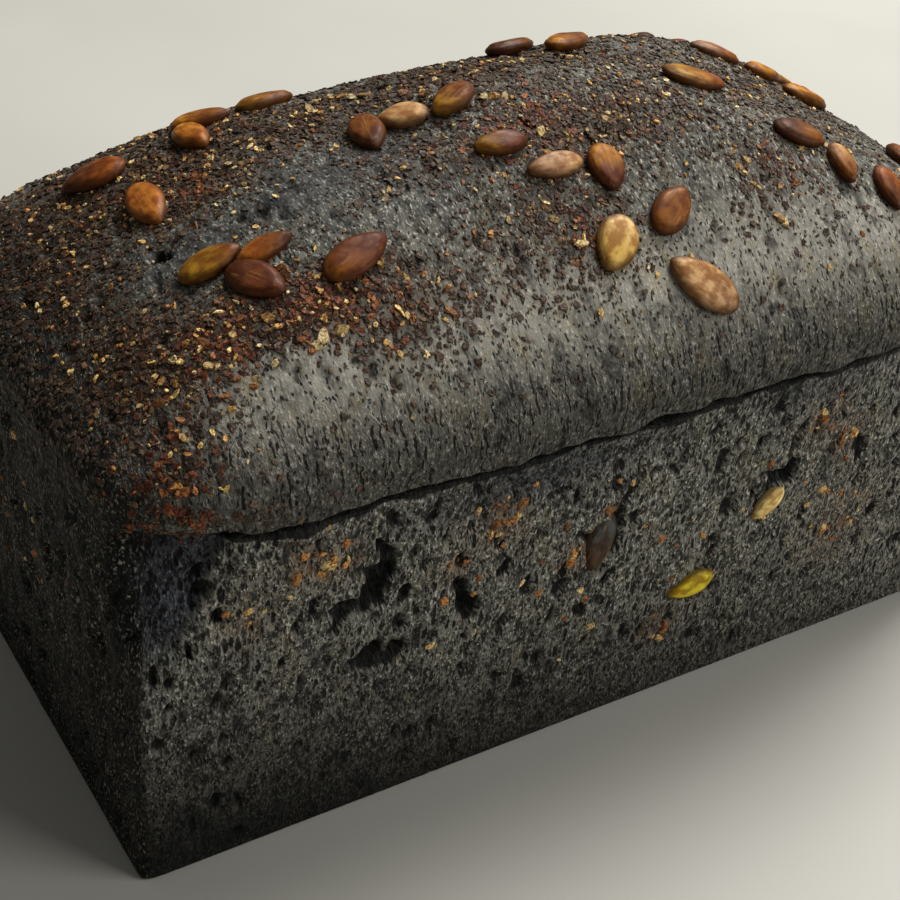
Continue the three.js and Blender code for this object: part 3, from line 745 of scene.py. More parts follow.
def dome_pits(rng):
    """The dome's pores: origins, axes and sizes, drawn out down the slope."""
    named = np.array([(*at, *size) for at, size in DOME_PITS], float)
    x, y = [rng.uniform(-reach, reach, DOME_PIT_COUNT) for reach in DOME_PIT_REACH]
    turns = rng.normal(*DOME_PIT_LEAN, DOME_PIT_COUNT)
    sizes = np.stack([rng.uniform(*limits, DOME_PIT_COUNT) for limits in DOME_PIT_SIZES], 1)
    sizes = np.concatenate([named[:, 2:], sizes])[:, [1, 0, 2]]
    turns = np.concatenate([np.full(len(named), DOME_PIT_LEAN[0]), turns])
    x = np.concatenate([named[:, 0], x])
    y = np.concatenate([named[:, 1], y])
    return zip(*dome_frames(x, y, np.radians(turns)), sizes)


def all_pits(points, above, rng):
    """Depths of the walls' bubbles and pits and of the dome's pores, over all the points."""
    walls = np.zeros(len(points))
    chosen = points[:, 2] < CREASE_HEIGHT - WALL_PIT_DROP
    spots = points[chosen]
    ragged = layered(spots, WALL_PIT_EDGES)
    named = [(*wall_frame(wall, along, height, turn), size) for wall, along, height, size, turn in PITS]
    bubbles = pressed(spots, ragged, named, np.inf)
    walls[chosen] = np.maximum(bubbles, pressed(spots, ragged, small_wall_pits(rng), PIT_REACH))
    dome = np.zeros(len(points))
    chosen = points[:, 2] > RIM_HEIGHT - DOME_PIT_DROP
    spots = points[chosen]
    dome[chosen] = pressed(spots, layered(spots, DOME_PIT_EDGES), dome_pits(rng), PIT_REACH)
    return np.where(above > 0, dome, walls)


def scoop_share(points, ragged):
    """How far each point lies inside the torn scoop, 0 to 1, with a sharp ragged edge."""
    x, y, z = points.T
    lean = (SCOOP_TOP[0] - SCOOP_FOOT[0]) / (SCOOP_TOP[1] - SCOOP_FOOT[1])
    edge = SCOOP_TOP[0] + lean * (z - SCOOP_TOP[1])
    inside = smooth(edge - x + SCOOP_RAGGED * ragged, 0, SCOOP_EDGE) * smooth(y, *SCOOP_BACK_FADE)
    inside = inside * smooth(z, SCOOP_FOOT[1] - SCOOP_FOOT_FADE, SCOOP_FOOT[1])
    return inside * smooth(z, CREASE_HEIGHT + SCOOP_CREASE_FADE, CREASE_HEIGHT - SCOOP_CREASE_FADE)


def rust_share(points):
    """How far the crumb is stained round the clusters of specks."""
    share = np.zeros(len(points))
    for wall, along, height, reach, _ in SPECKS:
        if reach < STAIN_LIMIT:
            origin, axes = wall_frame(wall, along, height)
            share = np.maximum(share, nearness((points - origin) @ axes.T, 0, reach + STAIN_MARGIN))
    return share


def crease_course(points):
    """How far the crease wanders up or down at each point."""
    return layered(points * (1, 1, 0), CREASE_WAVES) * peak(points[:, 2], CREASE_HEIGHT, CREASE_REACH)


def drift_density(plan):
    """How thickly the bran lies, about 1 in the thick drifts."""
    total = 0
    for at, reach, share in FINE_DRIFTS:
        total = total + share / (reach[0] * reach[1]) ** 0.5 * nearness(plan, at, reach)
    return np.clip(total * bran_left(plan), 0, 1)


def bran_left(plan):
    """The share of the bran that stays, which is little in the bare patches."""
    share = np.ones(len(plan))
    for at, reach in BARE_PATCHES:
        share *= 1 - BARE_SHARE * nearness(plan, at, reach)
    return share


def new_object(name, data):
    made = bpy.data.objects.new(name, data)
    bpy.context.scene.collection.objects.link(made)
    return made


def new_mesh(name, points, faces, attributes, material, is_smooth=True):
    """A mesh object in metres, with point attributes that are numbers, vectors or colours."""
    mesh = bpy.data.meshes.new(name)
    mesh.from_pydata((points * MM).tolist(), [], faces)
    mesh.polygons.foreach_set("use_smooth", np.full(len(faces), is_smooth))
    for key, values in attributes.items():
        kind, slot = ATTRIBUTE_KINDS[values[0].size]
        layer = mesh.attributes.new(key, kind, "POINT")
        layer.data.foreach_set(slot, values.astype(np.float32).ravel())
    mesh.update()
    mesh.materials.append(material)
    return new_object(name, mesh)


def opaque(tones):
    return np.c_[tones, np.ones(len(tones))]


def grain_places(points, skin):
    """Where each point lies in the crust's grain, which runs up the walls and down the dome's slopes."""
    stretch = mix(1, GRAIN_STRETCH, skin)
    inward = (np.abs(points[:, 1]) - RIM_HALF_WIDTH) * stretch + GRAIN_SKEW * points[:, 1]
    return np.stack([points[:, 0], inward, points[:, 2] * GRAIN_STRETCH], 1)


def make_loaf(material):
    """The loaf, with its points, their normals, and the finished crust to lay things on."""
    rng = np.random.default_rng(LOAF_DRAWS)
    bare, quads, under = loaf_grid()
    x, y, z = bare.T
    above = z - CREASE_HEIGHT
    points = bare.copy()
    points[:, 2] += crease_course(bare)
    normals = point_normals(points, quads)
    at_end = smooth(np.abs(x), *END_FADE)
    ends = smooth(np.abs(normals[:, 0]), *END_SLOPE)
    skin = smooth(above, mix(*SKIN_FROM, at_end), mix(*SKIN_TO, at_end))
    ragged = layered(bare, TORN_EDGES)
    scoop = scoop_share(bare, ragged)
    slot = smooth(above, SLOT_FROM, SLOT_FULL + SLOT_RAGGED * ragged)
    slot = slot * (above < SLOT_TOP) * (1 - smooth(np.abs(x), *SLOT_FADE))
    pits = all_pits(points, above, rng)

    rough = peak(above, CREASE_ROUGH_AT, CREASE_ROUGH_REACH) * (1 - at_end)
    relief = layered(points, SOFT_RELIEF) + rough * layered(points, CREASE_ROUGHNESS)
    relief += mix(1, SKIN_CRUMB, skin) * layered(points, CRUMB_RELIEF)
    relief += ends * (1 - skin) * layered(points, END_FOLDS) - pits
    relief -= SCOOP_DEPTH * scoop * smooth(x, *SCOOP_END_FADE)
    relief *= smooth(points[:, 2], *FOOT_FADE)
    points = points + normals * relief[:, None]
    points[:, 2] = np.maximum(points[:, 2], 0)
    torn = sum(share * nearness(bare, at, reach) for at, reach, share in TORN_PATCHES)
    attributes = {
        "skin": skin,
        # Shade painted into the pits and into the crease's slot under the lip
        "cavity": pits + SLOT_SHADE * slot,
        "ends": ends,
        "torn": np.maximum(torn, SCOOP_SHADE * scoop),
        "bran": drift_density(bare[:, :2]) * skin,
        # Painted shade, darker towards the foot and towards the left end; it also thins out the dark pores
        # low down
        "low": smooth(z + LOW_LEAN * x, *LOW_FADE),
        # Painted shade on the skin just above the crease, fading out up the dome
        "lip": smooth(z, *LIP_FADE) * skin,
        "rust": rust_share(bare),
        # Painted highlight in a band along the shoulders
        "painted_highlight": peak(np.abs(y), PAINTED_HIGHLIGHT_AT, PAINTED_HIGHLIGHT_REACH) * skin * (1 - at_end),
        "grain": grain_places(bare, skin),
    }
    faces = quads.tolist() + under.tolist()
    crust = BVHTree.FromPolygons(points.tolist(), faces)
    return new_mesh("loaf_crust", points, faces, attributes, material), points, normals, crust


def srgb(tones):
    """Display colours, 0 to 255, as the linear numbers that a shader takes."""
    shares = np.array(tones) / 255
    return np.where(shares <= 0.04045, shares / 12.92, ((shares + 0.055) / 1.055) ** 2.4)


def rgba(tone):
    return (*srgb(tone), 1.0)


def add(kind, inputs, **settings):
    """A new shader node with its inputs set, or linked in the tree that they come from."""
    tree = next(value.id_data for value in inputs.values() if isinstance(value, bpy.types.NodeSocket))
    made = tree.nodes.new("ShaderNode" + kind)
    for key, value in settings.items():
        setattr(made, key, value)
    for key, value in inputs.items():
        if isinstance(value, bpy.types.NodeSocket):
            tree.links.new(value, made.inputs[key])
        else:
            made.inputs[key].default_value = value
    return made


def attribute(tree, name, output="Fac"):
    made = tree.nodes.new("ShaderNodeAttribute")
    made.attribute_name = name
    return made.outputs[output]


def object_places(tree):
    return tree.nodes.new("ShaderNodeTexCoord").outputs["Object"]


def mapped(vector, scale):
    return add("Mapping", {"Vector": vector, "Scale": scale}).outputs[0]


def noise(vector, scale, detail=2, roughness=0.5):
    inputs = {"Vector": vector, "Scale": scale, "Detail": detail, "Roughness": roughness}
    return add("TexNoise", inputs).outputs[0]


def cloud(vector, scale, reach):
    """Soft mottling, and the places shifted about by it up to so far."""
    made = add("TexNoise", {"Vector": vector, "Scale": scale, "Detail": 2, "Roughness": 0.6})
    inputs = {0: made.outputs[1], 1: (reach, reach, reach), 2: vector}
    return made.outputs[0], add("VectorMath", inputs, operation="MULTIPLY_ADD").outputs[0]


def cells(vector, scale):
    """Scattered cells: the way to each cell's middle, its own random number, and its middle."""
    made = add("TexVoronoi", {"Vector": vector, "Scale": scale})
    own = add("SeparateColor", {"Color": made.outputs["Color"]}).outputs["Red"]
    return made.outputs["Distance"], own, made.outputs["Position"]


def way_along_x(vector, middle):
    way = add("VectorMath", {0: vector, 1: middle}, operation="SUBTRACT").outputs[0]
    return add("SeparateXYZ", {"Vector": way}).outputs["X"]


def math_node(operation, first, second):
    return add("Math", {0: first, 1: second}, operation=operation).outputs[0]


def times(first, *others):
    for other in others:
        first = math_node("MULTIPLY", first, other)
    return first


def ranged(value, low, high, to_low=0.0, to_high=1.0):
    inputs = {"Value": value, "From Min": low, "From Max": high, "To Min": to_low, "To Max": to_high}
    return add("MapRange", inputs, interpolation_type="SMOOTHSTEP").outputs[0]


def band(name, value):
    return ranged(value, *BANDS[name])


def blend(factor, first, second, blend_type="MIX"):
    inputs = {0: factor, 6: first, 7: second}
    return add("Mix", inputs, data_type="RGBA", blend_type=blend_type).outputs[2]


def blend_value(factor, first, second):
    return add("Mix", {0: factor, 2: first, 3: second}, data_type="FLOAT").outputs[0]


def new_material(name):
    material = bpy.data.materials.new(name)
    material.use_nodes = True
    return material, material.node_tree, material.node_tree.nodes["Principled BSDF"]


def dress(shader, colour, roughness, gleam, bump_inputs):
    """Links a shader's colour, roughness and bump, and sets how strongly it gleams."""
    bump = add("Bump", bump_inputs).outputs[0]
    for key, value in {"Base Color": colour, "Roughness": roughness, "Normal": bump}.items():
        value.id_data.links.new(value, shader.inputs[key])
    shader.inputs["Specular IOR Level"].default_value = gleam


def large_pores(uneven, zones, patches):
    """The crust's large pores: a painted highlight on their rims, and painted shade in holes that are round
    on the walls and crescent shadows on one side of them on the dome.
    """
    places = mapped(uneven, LARGE_PORE_STRETCH)
    near, own, middle = cells(places, LARGE_PORE_SCALE)
    chance = band("burst chance", own)
    # A painted highlight round the pores' rims
    rim = times(band("rim inside", near), band("rim outside", near), chance)
    rim = times(rim, blend_value(zones["skin"], WALL_RIM_HIGHLIGHTS, times(zones["lip"], LIP_RIM_HIGHLIGHTS)))
    # Painted shade in the walls' pores, fewer near the foot and in some patches
    burst = times(band("burst", near), chance, band("burst low", zones["low"]))
    burst = times(burst, band("burst patch", patches))
    # Painted crescent shadows on one side of the dome's pores
    crescent_shadow = times(band("arc inside", near), band("arc outside", near), band("arc chance", own))
    crescent_shadow = times(crescent_shadow, band("arc side", way_along_x(places, middle)), band("arc lip", zones["lip"]))
    return rim, blend_value(zones["skin"], burst, crescent_shadow)


# Small pores, darkened with painted shade
def small_holes(uneven, skin):
    near, own, _ = cells(uneven, SMALL_PORE_SCALE)
    chance = blend_value(skin, band("small wall chance", own), band("small dome chance", own))
    return times(band("small", near), chance)


def crust_material():
    """Dry charcoal crumb: short pale threads and pores darkened with painted shade, drawn out up the walls
    and down the dome, under painted highlights and shade.
    """
    material, tree, shader = new_material("charcoal_crust")
    names = ("skin", "ends", "cavity", "torn", "bran", "low", "lip", "painted_highlight", "rust")
    zones = {name: attribute(tree, name) for name in names}
    skin = zones["skin"]
    grain = attribute(tree, "grain", "Vector")
    mottle, uneven = cloud(grain, MOTTLE_SCALE, MOTTLE_SHIFT)
    flecks = noise(grain, FLECK_SCALE, detail=2, roughness=0.6)
    patches = noise(grain, PATCH_SCALE, detail=3, roughness=0.75)
    rim, large_hole = large_pores(uneven, zones, patches)
    threads = times(band("thread", flecks), band("thread mottle", mottle))
    cut_share = blend_value(skin, WALL_CUTS, band("lip cut", zones["lip"]))
    coats = {
        "cut": times(band("cut", flecks), cut_share),
        "thread": times(threads, blend_value(skin, *THREAD_SHARES)),
        # painted highlight along the shoulders
        "painted_highlight": zones["painted_highlight"],
        "scorch": band("scorch", patches),
        "olive": band("olive", patches),
        "rust": times(zones["rust"], band("stain", mottle)),
        # painted highlight round the pores' rims
        "rim": rim,
        # painted shade in the pores, and painted crescent shadows beside the dome's pores
        "pore_shade": math_node("MAXIMUM", small_holes(uneven, skin), large_hole),
        # painted shade in the pits and the crease's slot
        "cavity_shade": band("cavity_shade", zones["cavity"]),
        "torn": zones["torn"],
        "bran": zones["bran"],
        # painted shade on the lip
        "lip": zones["lip"],
        # painted shade near the foot, more towards the left, and on both ends
        "painted_shade": math_node("MAXIMUM", zones["low"], times(zones["ends"], END_SHADE)),
        "end thread": times(threads, zones["ends"], band("end thread", patches)),
    }
    wall = blend(band("wall mottle", mottle), *map(rgba, WALL_TONES))
    dome = blend(band("dome mottle", mottle), *map(rgba, DOME_TONES))
    colour = blend(skin, wall, dome)
    for name, share in coats.items():
        tone, strength, blend_type = CRUST_COATS[name]
        colour = blend(times(share, strength), colour, rgba(tone), blend_type)
    height = math_node("SUBTRACT", flecks, times(large_hole, HOLE_BUMP))
    strength = blend_value(skin, WALL_BUMP, band("lip bump", zones["lip"]))
    bump_inputs = {"Height": height, "Strength": strength, "Distance": CRUST_BUMP}
    dress(shader, colour, band("roughness", flecks), CRUST_GLEAM, bump_inputs)
    return material


def seed_material():
    """Roasted pumpkin seeds: satin skin with pale lengthwise veins and a dark edge."""
    material, tree, shader = new_material("pumpkin_seed")
    tone = attribute(tree, "tone", "Color")
    grain = attribute(tree, "grain", "Vector")
    veins = noise(mapped(grain, SEED_VEINS), scale=1.0, detail=3, roughness=0.6)
    mottle = noise(mapped(grain, SEED_MOTTLE), scale=1.0)
    dark = blend(1.0, tone, rgba(SEED_SHADE), "MULTIPLY")
    pale = blend(SEED_VEIN_SHARE, tone, rgba(SEED_VEIN_TONE))
    colour = blend(band("seed mottle", mottle), dark, tone)
    colour = blend(band("seed vein", veins), colour, pale)
    colour = blend(band("seed edge", attribute(tree, "rim")), colour, rgba(SEED_EDGE_TONE))
    bump_inputs = {"Height": veins, "Strength": SEED_BUMP_SHARE, "Distance": SEED_BUMP}
    dress(shader, colour, band("seed roughness", mottle), SEED_GLEAM, bump_inputs)
    return material


def grain_material(name):
    """Bran and grain: each piece has its own tone, with fine mottling."""
    material, tree, shader = new_material(name)
    tone = attribute(tree, "tone", "Color")
    places = mapped(object_places(tree), (1 / MM, 1 / MM, 1 / MM))
    speckle = noise(places, GRAIN_SCALE, detail=2, roughness=0.6)
    dark = blend(1.0, tone, rgba(GRAIN_SHADE), "MULTIPLY")
    colour = blend(band("grain mottle", speckle), dark, tone)
    roughness = GRAIN_ROUGHNESS[name]
    rough = ranged(speckle, *GRAIN_ROUGH_BAND, roughness + GRAIN_DULLER, roughness - GRAIN_SMOOTHER)
    bump_inputs = {"Height": speckle, "Strength": GRAIN_BUMP_SHARE, "Distance": GRAIN_BUMP}
    dress(shader, colour, rough, GRAIN_GLEAM, bump_inputs)
    return material


def seed_shape(length, width, bend, number):
    """One seed's points, faces and rim shares: a flat drop with a rounded edge, its point towards -X."""
    angle = np.arange(SEED_SIDES) / SEED_SIDES * 2 * math.pi
    ring = (np.arange(1, SEED_RINGS + 1) / SEED_RINGS) ** SEED_RING_CROWDING
    along = np.sign(np.cos(angle)) * np.abs(np.cos(angle)) ** SEED_FULLNESS
    side = np.sign(np.sin(angle)) * np.abs(np.sin(angle)) ** SEED_FULLNESS
    taper = (1 + SEED_TAPER * along) * (1 - SEED_POINT * np.clip(-along, 0, 1) ** 2)
    outline = np.stack([along * length / 2, side * taper * width * length / 2], 1)
    flat = (ring[:, None, None] * outline).reshape(-1, 2)
    share = np.repeat(ring, SEED_SIDES)
    swell = np.clip(1 - share**SEED_SWELL, 0, 1) ** SEED_EDGE
    depth, place, reach = SEED_GROOVE
    groove = depth * peak(share, place, reach)
    spots = np.c_[flat, np.full(len(flat), SEED_WAVE_STEP * number)]
    wave = SEED_WAVE * lattice_noise(spots, SEED_WAVE_GRAIN, SEED_WAVE_NUMBER)
    half = SEED_THICKNESS / 2
    curve = bend * (flat[:, 0] / (length / 2)) ** 2
    upper = np.c_[flat, half * swell - groove + wave * swell + curve]
    inner = len(flat) - SEED_SIDES
    lower = np.c_[flat, -half * swell + curve][:inner]
    points = np.concatenate([upper, lower, [[0, 0, half], [0, 0, -half]]])
    rim = np.concatenate([share, share[:inner], [0, 0]])
    index = np.arange(len(flat)).reshape(SEED_RINGS, SEED_SIDES)
    under = np.concatenate([len(flat) + index[:-1], index[-1:]])
    middle = len(points) - 2
    faces = []
    for layer, centre, flip in ((index, middle, False), (under, middle + 1, True)):
        after = np.roll(layer, -1, axis=1)
        quads = np.stack([layer[:-1], layer[1:], after[1:], after[:-1]], -1).reshape(-1, 4)
        fan = np.stack([np.full(SEED_SIDES, centre), layer[0], after[0]], 1)
        for group in (quads, fan):
            faces.extend((group[:, ::-1] if flip else group).tolist())
    return points, faces, rim


def far_seeds(row):
    """The seeds on the slopes that don't show, each at the roomiest of a few tries."""
    # Each seed's place, turn, length and width, without its two tones
    seeds = [seed[:-2] for seed in SHOWN_SEEDS]

    def room(place):
        return min(math.hypot(seed[0] - place[0], seed[1] - place[1]) for seed in seeds)

    for along, across, count in FAR_SEED_ZONES:
        for _ in range(count):
            best = None
            for _ in range(FAR_SEED_TRIES):
                x = mix(*along, next(row))
                y = mix(*across, next(row))
                if best is None or room((x, y)) > room(best):
                    best = (x, y)
            turn = 360 * next(row)
            seeds.append((*best, turn, mix(*FAR_SEED_LENGTHS, next(row)), SEED_WIDTH))
    blunt = itertools.cycle(FAR_SEED_TONES)
    point = itertools.islice(itertools.cycle(FAR_SEED_TONES), FAR_SEED_TONE_STEP, None)
    return [(*seed, next(blunt), next(point)) for seed in seeds[len(SHOWN_SEEDS):]]


def make_seeds(row, material):
    """All the pumpkin seeds as one mesh."""
    rng = np.random.default_rng(SEED_DRAWS)
    places = []
    for x, y, turn, length, width, blunt, point in (*SHOWN_SEEDS, *far_seeds(row)):
        frame_at = dome_frames(np.array(float(x)), np.array(float(y)), math.radians(turn), SEED_LIFT)
        places.append((*frame_at, length, width, blunt, point))
    for wall, along, height, turn, length, lift, blunt, point in WALL_SEEDS:
        frame_at = wall_frame(wall, along, height, turn, lift)
        places.append((*frame_at, length, WALL_SEED_WIDTH, blunt, point))
    parts = {"points": [], "rim": [], "grain": [], "tone": []}
    faces = []
    count = 0
    for number, (origin, axes, length, width, blunt, point) in enumerate(places):
        local, local_faces, rim = seed_shape(length, width, rng.uniform(*SEED_BENDS), number)
        share = smooth(local[:, 0] / length + SEED_TURN_SPREAD * rng.normal(), *SEED_TURN)[:, None]
        parts["points"].append(origin + local @ axes)
        parts["rim"].append(rim)
        parts["grain"].append(local + (0, 0, SEED_GRAIN_STEP * number))
        parts["tone"].append(opaque(mix(srgb(SEED_TONES[point]), srgb(SEED_TONES[blunt]), share)))
        faces.extend([[corner + count for corner in face] for face in local_faces])
        count += len(local)
    joined = {key: np.concatenate(value) for key, value in parts.items()}
    return new_mesh("pumpkin_seeds", joined.pop("points"), faces, joined, material)


def plate_template(sides):
    """An uneven flat plate: points and faces."""
    angle = np.arange(sides) / sides * 2 * math.pi
    circle = np.stack([np.cos(angle), np.sin(angle)], 1)
    top = np.c_[circle * PLATE_TOP, np.ones(sides)]
    points = np.concatenate([top, np.c_[circle, -np.ones(sides)]])
    faces = []
    for side in range(sides):
        after = (side + 1) % sides
        faces.append([sides + side, sides + after, after])
        faces.append([sides + side, after, side])
    for side in range(1, sides - 1):
        faces.append([0, side, side + 1])
        faces.append([sides, sides + side + 1, sides + side])
    return points, np.array(faces)


def chip_template():
    """A twenty-sided grain: points and faces."""
    golden = (1 + 5**0.5) / 2
    base = [(-1, golden, 0), (1, golden, 0), (-1, -golden, 0), (1, -golden, 0)]
    points = np.array(base + [(z, x, y) for x, y, z in base] + [(y, z, x) for x, y, z in base], float)
    points /= np.linalg.norm(points[0])
    slack = 1.01
    edge = slack * min(np.linalg.norm(points[0] - other) for other in points[1:])
    faces = []
    for a, b, c in itertools.combinations(range(len(points)), 3):
        corners = points[[a, b, c]]
        if np.linalg.norm(corners - np.roll(corners, 1, axis=0), axis=1).max() < edge:
            outward = np.linalg.det(corners) > 0
            faces.append([a, b, c] if outward else [a, c, b])
    return points, np.array(faces)


def scatter_mesh(name, template, frames, sizes, unevenness, tones, material, rng):
    """Many uneven copies of one shape as one mesh. Sizes are length, width and thickness."""
    shape, shape_faces = template
    origins, axes = frames
    count = len(origins)
    uneven = 1 + unevenness * rng.uniform(-1, 1, (count, *shape.shape))
    local = shape * uneven * (sizes[:, None, :] / 2)
    points = origins[:, None] + np.einsum("npk,nkj->npj", local, axes)
    faces = shape_faces + len(shape) * np.arange(count)[:, None, None]
    attributes = {"tone": np.repeat(opaque(tones), len(shape), axis=0)}
    faces = faces.reshape(-1, 3).tolist()
    return new_mesh(name, points.reshape(-1, 3), faces, attributes, material, is_smooth=False)


def laid(crust, frames, lift):
    """The frames moved along their normals onto the finished crust, and so far above it."""
    origins, axes = frames
    landed = origins.copy()
    for number, (origin, normal) in enumerate(zip(origins, axes[:, 2])):
        hit = crust.ray_cast(Vector(origin + DROP_FROM * normal), Vector(-normal), 2 * DROP_FROM)[0]
        if hit is not None:
            landed[number] = hit
    return landed + axes[:, 2] * np.reshape(lift, (-1, 1)), axes


def tilted(frames, rng, steepest):
    """The frames leaned over by up to so many radians, each in its own direction."""
    origins, axes = frames
    lean = rng.uniform(-steepest, steepest, (len(origins), 2))
    normal = unit(axes[:, 2] + lean[:, :1] * axes[:, 0] + lean[:, 1:] * axes[:, 1])
    across = unit(np.cross(normal, axes[:, 0]))
    return origins, np.stack([np.cross(across, normal), across, normal], 1)


def drift_places(rng, count, spread=1):
    """Plan positions of bran, thickest in the drifts and few in the bare patches."""
    at, reach, share = [np.array(column, float) for column in zip(*FINE_DRIFTS, THIN_SCATTER)]
    tries = count * DRIFT_TRIES
    pick = rng.choice(len(at), tries, p=share / share.sum())
    spots = at[pick] + reach[pick] * rng.normal(0, DRIFT_SPREAD * spread, (tries, 2))
    limits = (RIM_HALF_LENGTH - DRIFT_MARGIN, RIM_HALF_WIDTH - DRIFT_MARGIN)
    spots = spots[(np.abs(spots) < limits).all(1)]
    near = way_to_rim(spots[:, 0], spots[:, 1]) < DRIFT_EDGE
    stays = rng.random(len(spots)) < bran_left(spots)
    return spots[near & stays][:count]


def pick_tones(rng, tones, count):
    chosen = srgb(tones)[rng.integers(0, len(tones), count)]
    return chosen * rng.uniform(*TONE_SPREAD, (count, 1))


def edge_frames(points, normals, rng):
    """Places and axes for bran over the edges of the loaf's ends, lower than the dome's plan reaches."""
    picked = []
    for at, reach, count in EDGE_DRIFTS:
        chance = nearness(points, at, reach)
        picked.append(rng.choice(len(points), count, p=chance / chance.sum()))
    picked = np.concatenate(picked)
    normal = normals[picked]
    heading = unit(np.cross(normal, rng.normal(0, 1, normal.shape)))
    shift = EDGE_SHIFT * heading * rng.uniform(-1, 1, (len(picked), 1))
    origins = points[picked] + shift + EDGE_LIFT * normal
    return origins, np.stack([heading, np.cross(normal, heading), normal], 1)


def dusted(tones, origins):
    """The tones of the bran, greyer where it lies outside the drifts."""
    loose = 1 - drift_density(origins[:, :2])
    return mix(tones, srgb(DUSTY_TONE), DUSTY_SHARE * loose[:, None])


def strewn(rng, kind, crust, spread=1):
    """Origins and axes of bran in the drifts, each piece turned its own way and laid on the crust."""
    spots = drift_places(rng, kind.count, spread)
    turn = rng.uniform(0, 2 * math.pi, len(spots))
    lift = rng.uniform(*kind.lifts, len(spots))
    return laid(crust, dome_frames(spots[:, 0], spots[:, 1], turn), lift)


def bran_lengths(rng, kind, count):
    return mix(*kind.lengths, rng.power(kind.crowding, count))


def bran_sizes(rng, kind, length):
    """Length, width and thickness of each piece."""
    width = length * rng.uniform(*kind.widths, len(length))
    return np.stack([length, width, rng.uniform(*kind.thicknesses, len(length))], 1)


def make_chips(points, normals, crust, material):
    """Brown and rust red bran chips in drifts, some of them over the edges of the loaf's ends."""
    rng = np.random.default_rng(CHIPS.draws)
    pairs = zip(strewn(rng, CHIPS, crust), edge_frames(points, normals, rng))
    origins, axes = [np.concatenate(pair) for pair in pairs]
    count = len(origins)
    sizes = bran_sizes(rng, CHIPS, bran_lengths(rng, CHIPS, count))
    tones = dusted(pick_tones(rng, CHIPS.tones, count), origins)
    rust = np.max([nearness(origins[:, :2], at, reach) for at, reach in RUST_SPOTS], axis=0)
    rusty = rng.random(count) < RUST_CHANCE * rust
    tones[rusty] = pick_tones(rng, RUST_TONES, rusty.sum())
    frames = tilted((origins, axes), rng, CHIPS.tilt)
    plate = plate_template(CHIPS.sides)
    return scatter_mesh("bran_chips", plate, frames, sizes, CHIPS.unevenness, tones, material, rng)


def make_crumbs(crust, material):
    """Fine bran dust, which spreads wider than the chips."""
    rng = np.random.default_rng(CRUMBS.draws)
    frames = strewn(rng, CRUMBS, crust, CRUMB_SPREAD)
    count = len(frames[0])
    sizes = bran_sizes(rng, CRUMBS, bran_lengths(rng, CRUMBS, count))
    tones = dusted(pick_tones(rng, CRUMBS.tones, count), frames[0])
    frames = tilted(frames, rng, CRUMBS.tilt)
    plate = plate_template(CRUMBS.sides)
    return scatter_mesh("bran_crumbs", plate, frames, sizes, CRUMBS.unevenness, tones, material, rng)


def big_flake_draws(row):
    """The largest flakes: plan position, length and turn, from the solid's own row of draws."""

    def bell():
        mean = (next(row) + next(row) + next(row)) / 3
        return DRIFT_REACHES * (2 * mean - 1)

    whole = sum(share for _, _, share in DRIFTS)
    places = []
    while len(places) < BIG_FLAKE_COUNT:
        rest = next(row) * whole
        for at, reach, share in DRIFTS:
            rest -= share
            if rest < 0:
                break
        x = at[0] + reach[0] * bell()
        y = at[1] + reach[1] * bell()
        if way_to_rim(x, y) < DRIFT_LIMIT:
            places.append((x, y))
    flakes = []
    for x, y in places:
        length, _, _, turn = [next(row) for _ in range(BIG_FLAKE_DRAWS)]
        flakes.append((x, y, mix(*BIG_FLAKE_LENGTHS, length), turn * 2 * math.pi))
    return np.array(flakes)


def make_flakes(row, crust, material):
    """Golden bran flakes: the largest where the solid has them, and the smaller ones in the drifts."""
    rng = np.random.default_rng(FLAKES.draws)
    large = big_flake_draws(row)
    spots = drift_places(rng, FLAKES.count)
    x, y = np.concatenate([large[:, :2], spots]).T
    turn = np.concatenate([large[:, 3], rng.uniform(0, 2 * math.pi, len(spots))])
    length = np.concatenate([large[:, 2], bran_lengths(rng, FLAKES, len(spots))])
    lift = rng.uniform(*FLAKES.lifts, len(x))
    frames = tilted(laid(crust, dome_frames(x, y, turn), lift), rng, FLAKES.tilt)
    sizes = bran_sizes(rng, FLAKES, length)
    tones = pick_tones(rng, FLAKES.tones, len(x))
    tones[:len(large)] *= LARGE_FLAKE_SHADE
    plate = plate_template(FLAKES.sides)
    return scatter_mesh("bran_flakes", plate, frames, sizes, FLAKES.unevenness, tones, material, rng)


def make_specks(crust, material):
    """Orange and brown grain specks baked into the walls."""
    rng = np.random.default_rng(SPECK_DRAWS)
    frames = []
    for wall, along, height, reach, count in SPECKS:
        half = wall_sizes(wall)[0] / 2 - SPECK_MARGIN
        for _ in range(count):
            x = np.clip(along + reach * rng.normal(0, SPECK_SPREAD), -half, half)
            z = np.clip(height + min(reach, SPECK_TALLEST) * rng.normal(0, SPECK_SPREAD), *SPECK_HEIGHTS)
            frames.append(wall_frame(wall, x, z, rng.uniform(0, 360)))
    origins, axes = [np.array(column) for column in zip(*frames)]
    count = len(origins)
    length = mix(*SPECK_SIZES, rng.power(SPECK_CROWDING, count))
    width = length * rng.uniform(*SPECK_WIDTHS, count)
    sizes = np.stack([length, width, length * rng.uniform(*SPECK_THICKNESSES, count)], 1)
    tones = pick_tones(rng, SPECK_TONES, count)
    frames = laid(crust, (origins, axes), -SPECK_SINK)
    chip = chip_template()
    return scatter_mesh("wall_specks", chip, frames, sizes, SPECK_UNEVENNESS, tones, material, rng)


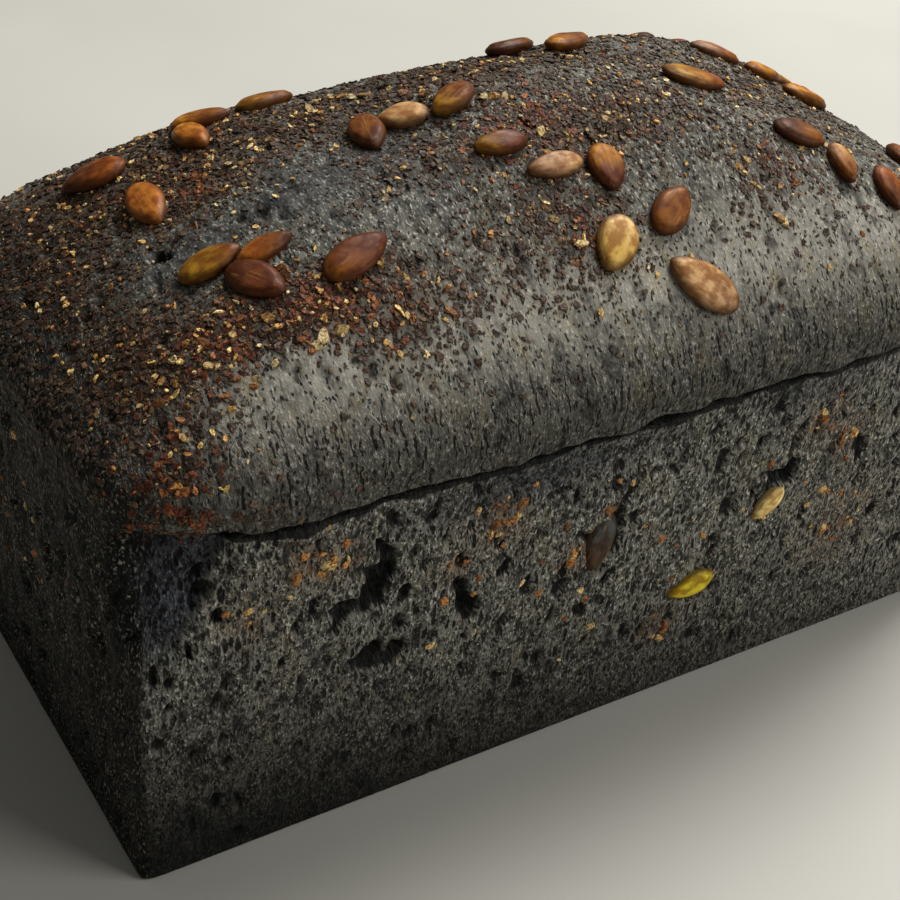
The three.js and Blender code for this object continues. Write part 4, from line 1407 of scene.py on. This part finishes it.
def make_floor():
    material, tree, shader = new_material("pale_floor")
    haze = band("floor haze", noise(object_places(tree), FLOOR_HAZE_SCALE, detail=3))
    tree.links.new(blend(haze, *map(rgba, FLOOR_TONES)), shader.inputs["Base Color"])
    shader.inputs["Roughness"].default_value = FLOOR_ROUGHNESS
    corners = FLOOR_HALF * np.array([(-1, -1, 0), (1, -1, 0), (1, 1, 0), (-1, 1, 0)])
    floor = new_mesh("floor", corners, [(0, 1, 2, 3)], {}, material)


def make_camera():
    right = Vector(CAMERA_RIGHT)
    up = Vector(CAMERA_UP)
    data = bpy.data.cameras.new("camera")
    data.sensor_width = CAMERA_SENSOR
    data.lens = CAMERA_LENS
    data.clip_start = CAMERA_NEAREST
    camera = new_object("camera", data)
    turn = Matrix((right, up, right.cross(up))).transposed().to_4x4()
    camera.matrix_world = Matrix.Translation(Vector(CAMERA_AT) * MM) @ turn
    bpy.context.scene.camera = camera


def make_lights():
    for name, at, size, power, colour in LIGHTS:
        data = bpy.data.lights.new(name, "AREA")
        data.size = size
        data.energy = power
        data.color = colour
        light = new_object(name, data)
        light.location = at
        light.rotation_euler = (Vector(LIGHTS_AIM) - Vector(at)).to_track_quat("-Z", "Y").to_euler()
    world = bpy.data.worlds.new("studio")
    world.use_nodes = True
    sky = world.node_tree.nodes["Background"]
    sky.inputs["Color"].default_value = SKY_COLOUR
    sky.inputs["Strength"].default_value = SKY_STRENGTH
    bpy.context.scene.world = world
    bpy.context.scene.view_settings.view_transform = "Standard"


def main():
    make_camera()
    make_lights()
    make_floor()
    row = random_row(SOLID_DRAWS)
    loaf, points, normals, crust = make_loaf(crust_material())
    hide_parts("loaf")
    seeds = make_seeds(row, seed_material())
    flakes = make_flakes(row, crust, grain_material("bran_flake"))
    chips = make_chips(points, normals, crust, grain_material("bran_chip"))
    crumbs = make_crumbs(crust, grain_material("bran_crumb"))
    specks = make_specks(crust, grain_material("grain_speck"))
    for piece in (loaf, seeds, flakes, chips, crumbs, specks):
        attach(piece, "root")


main()
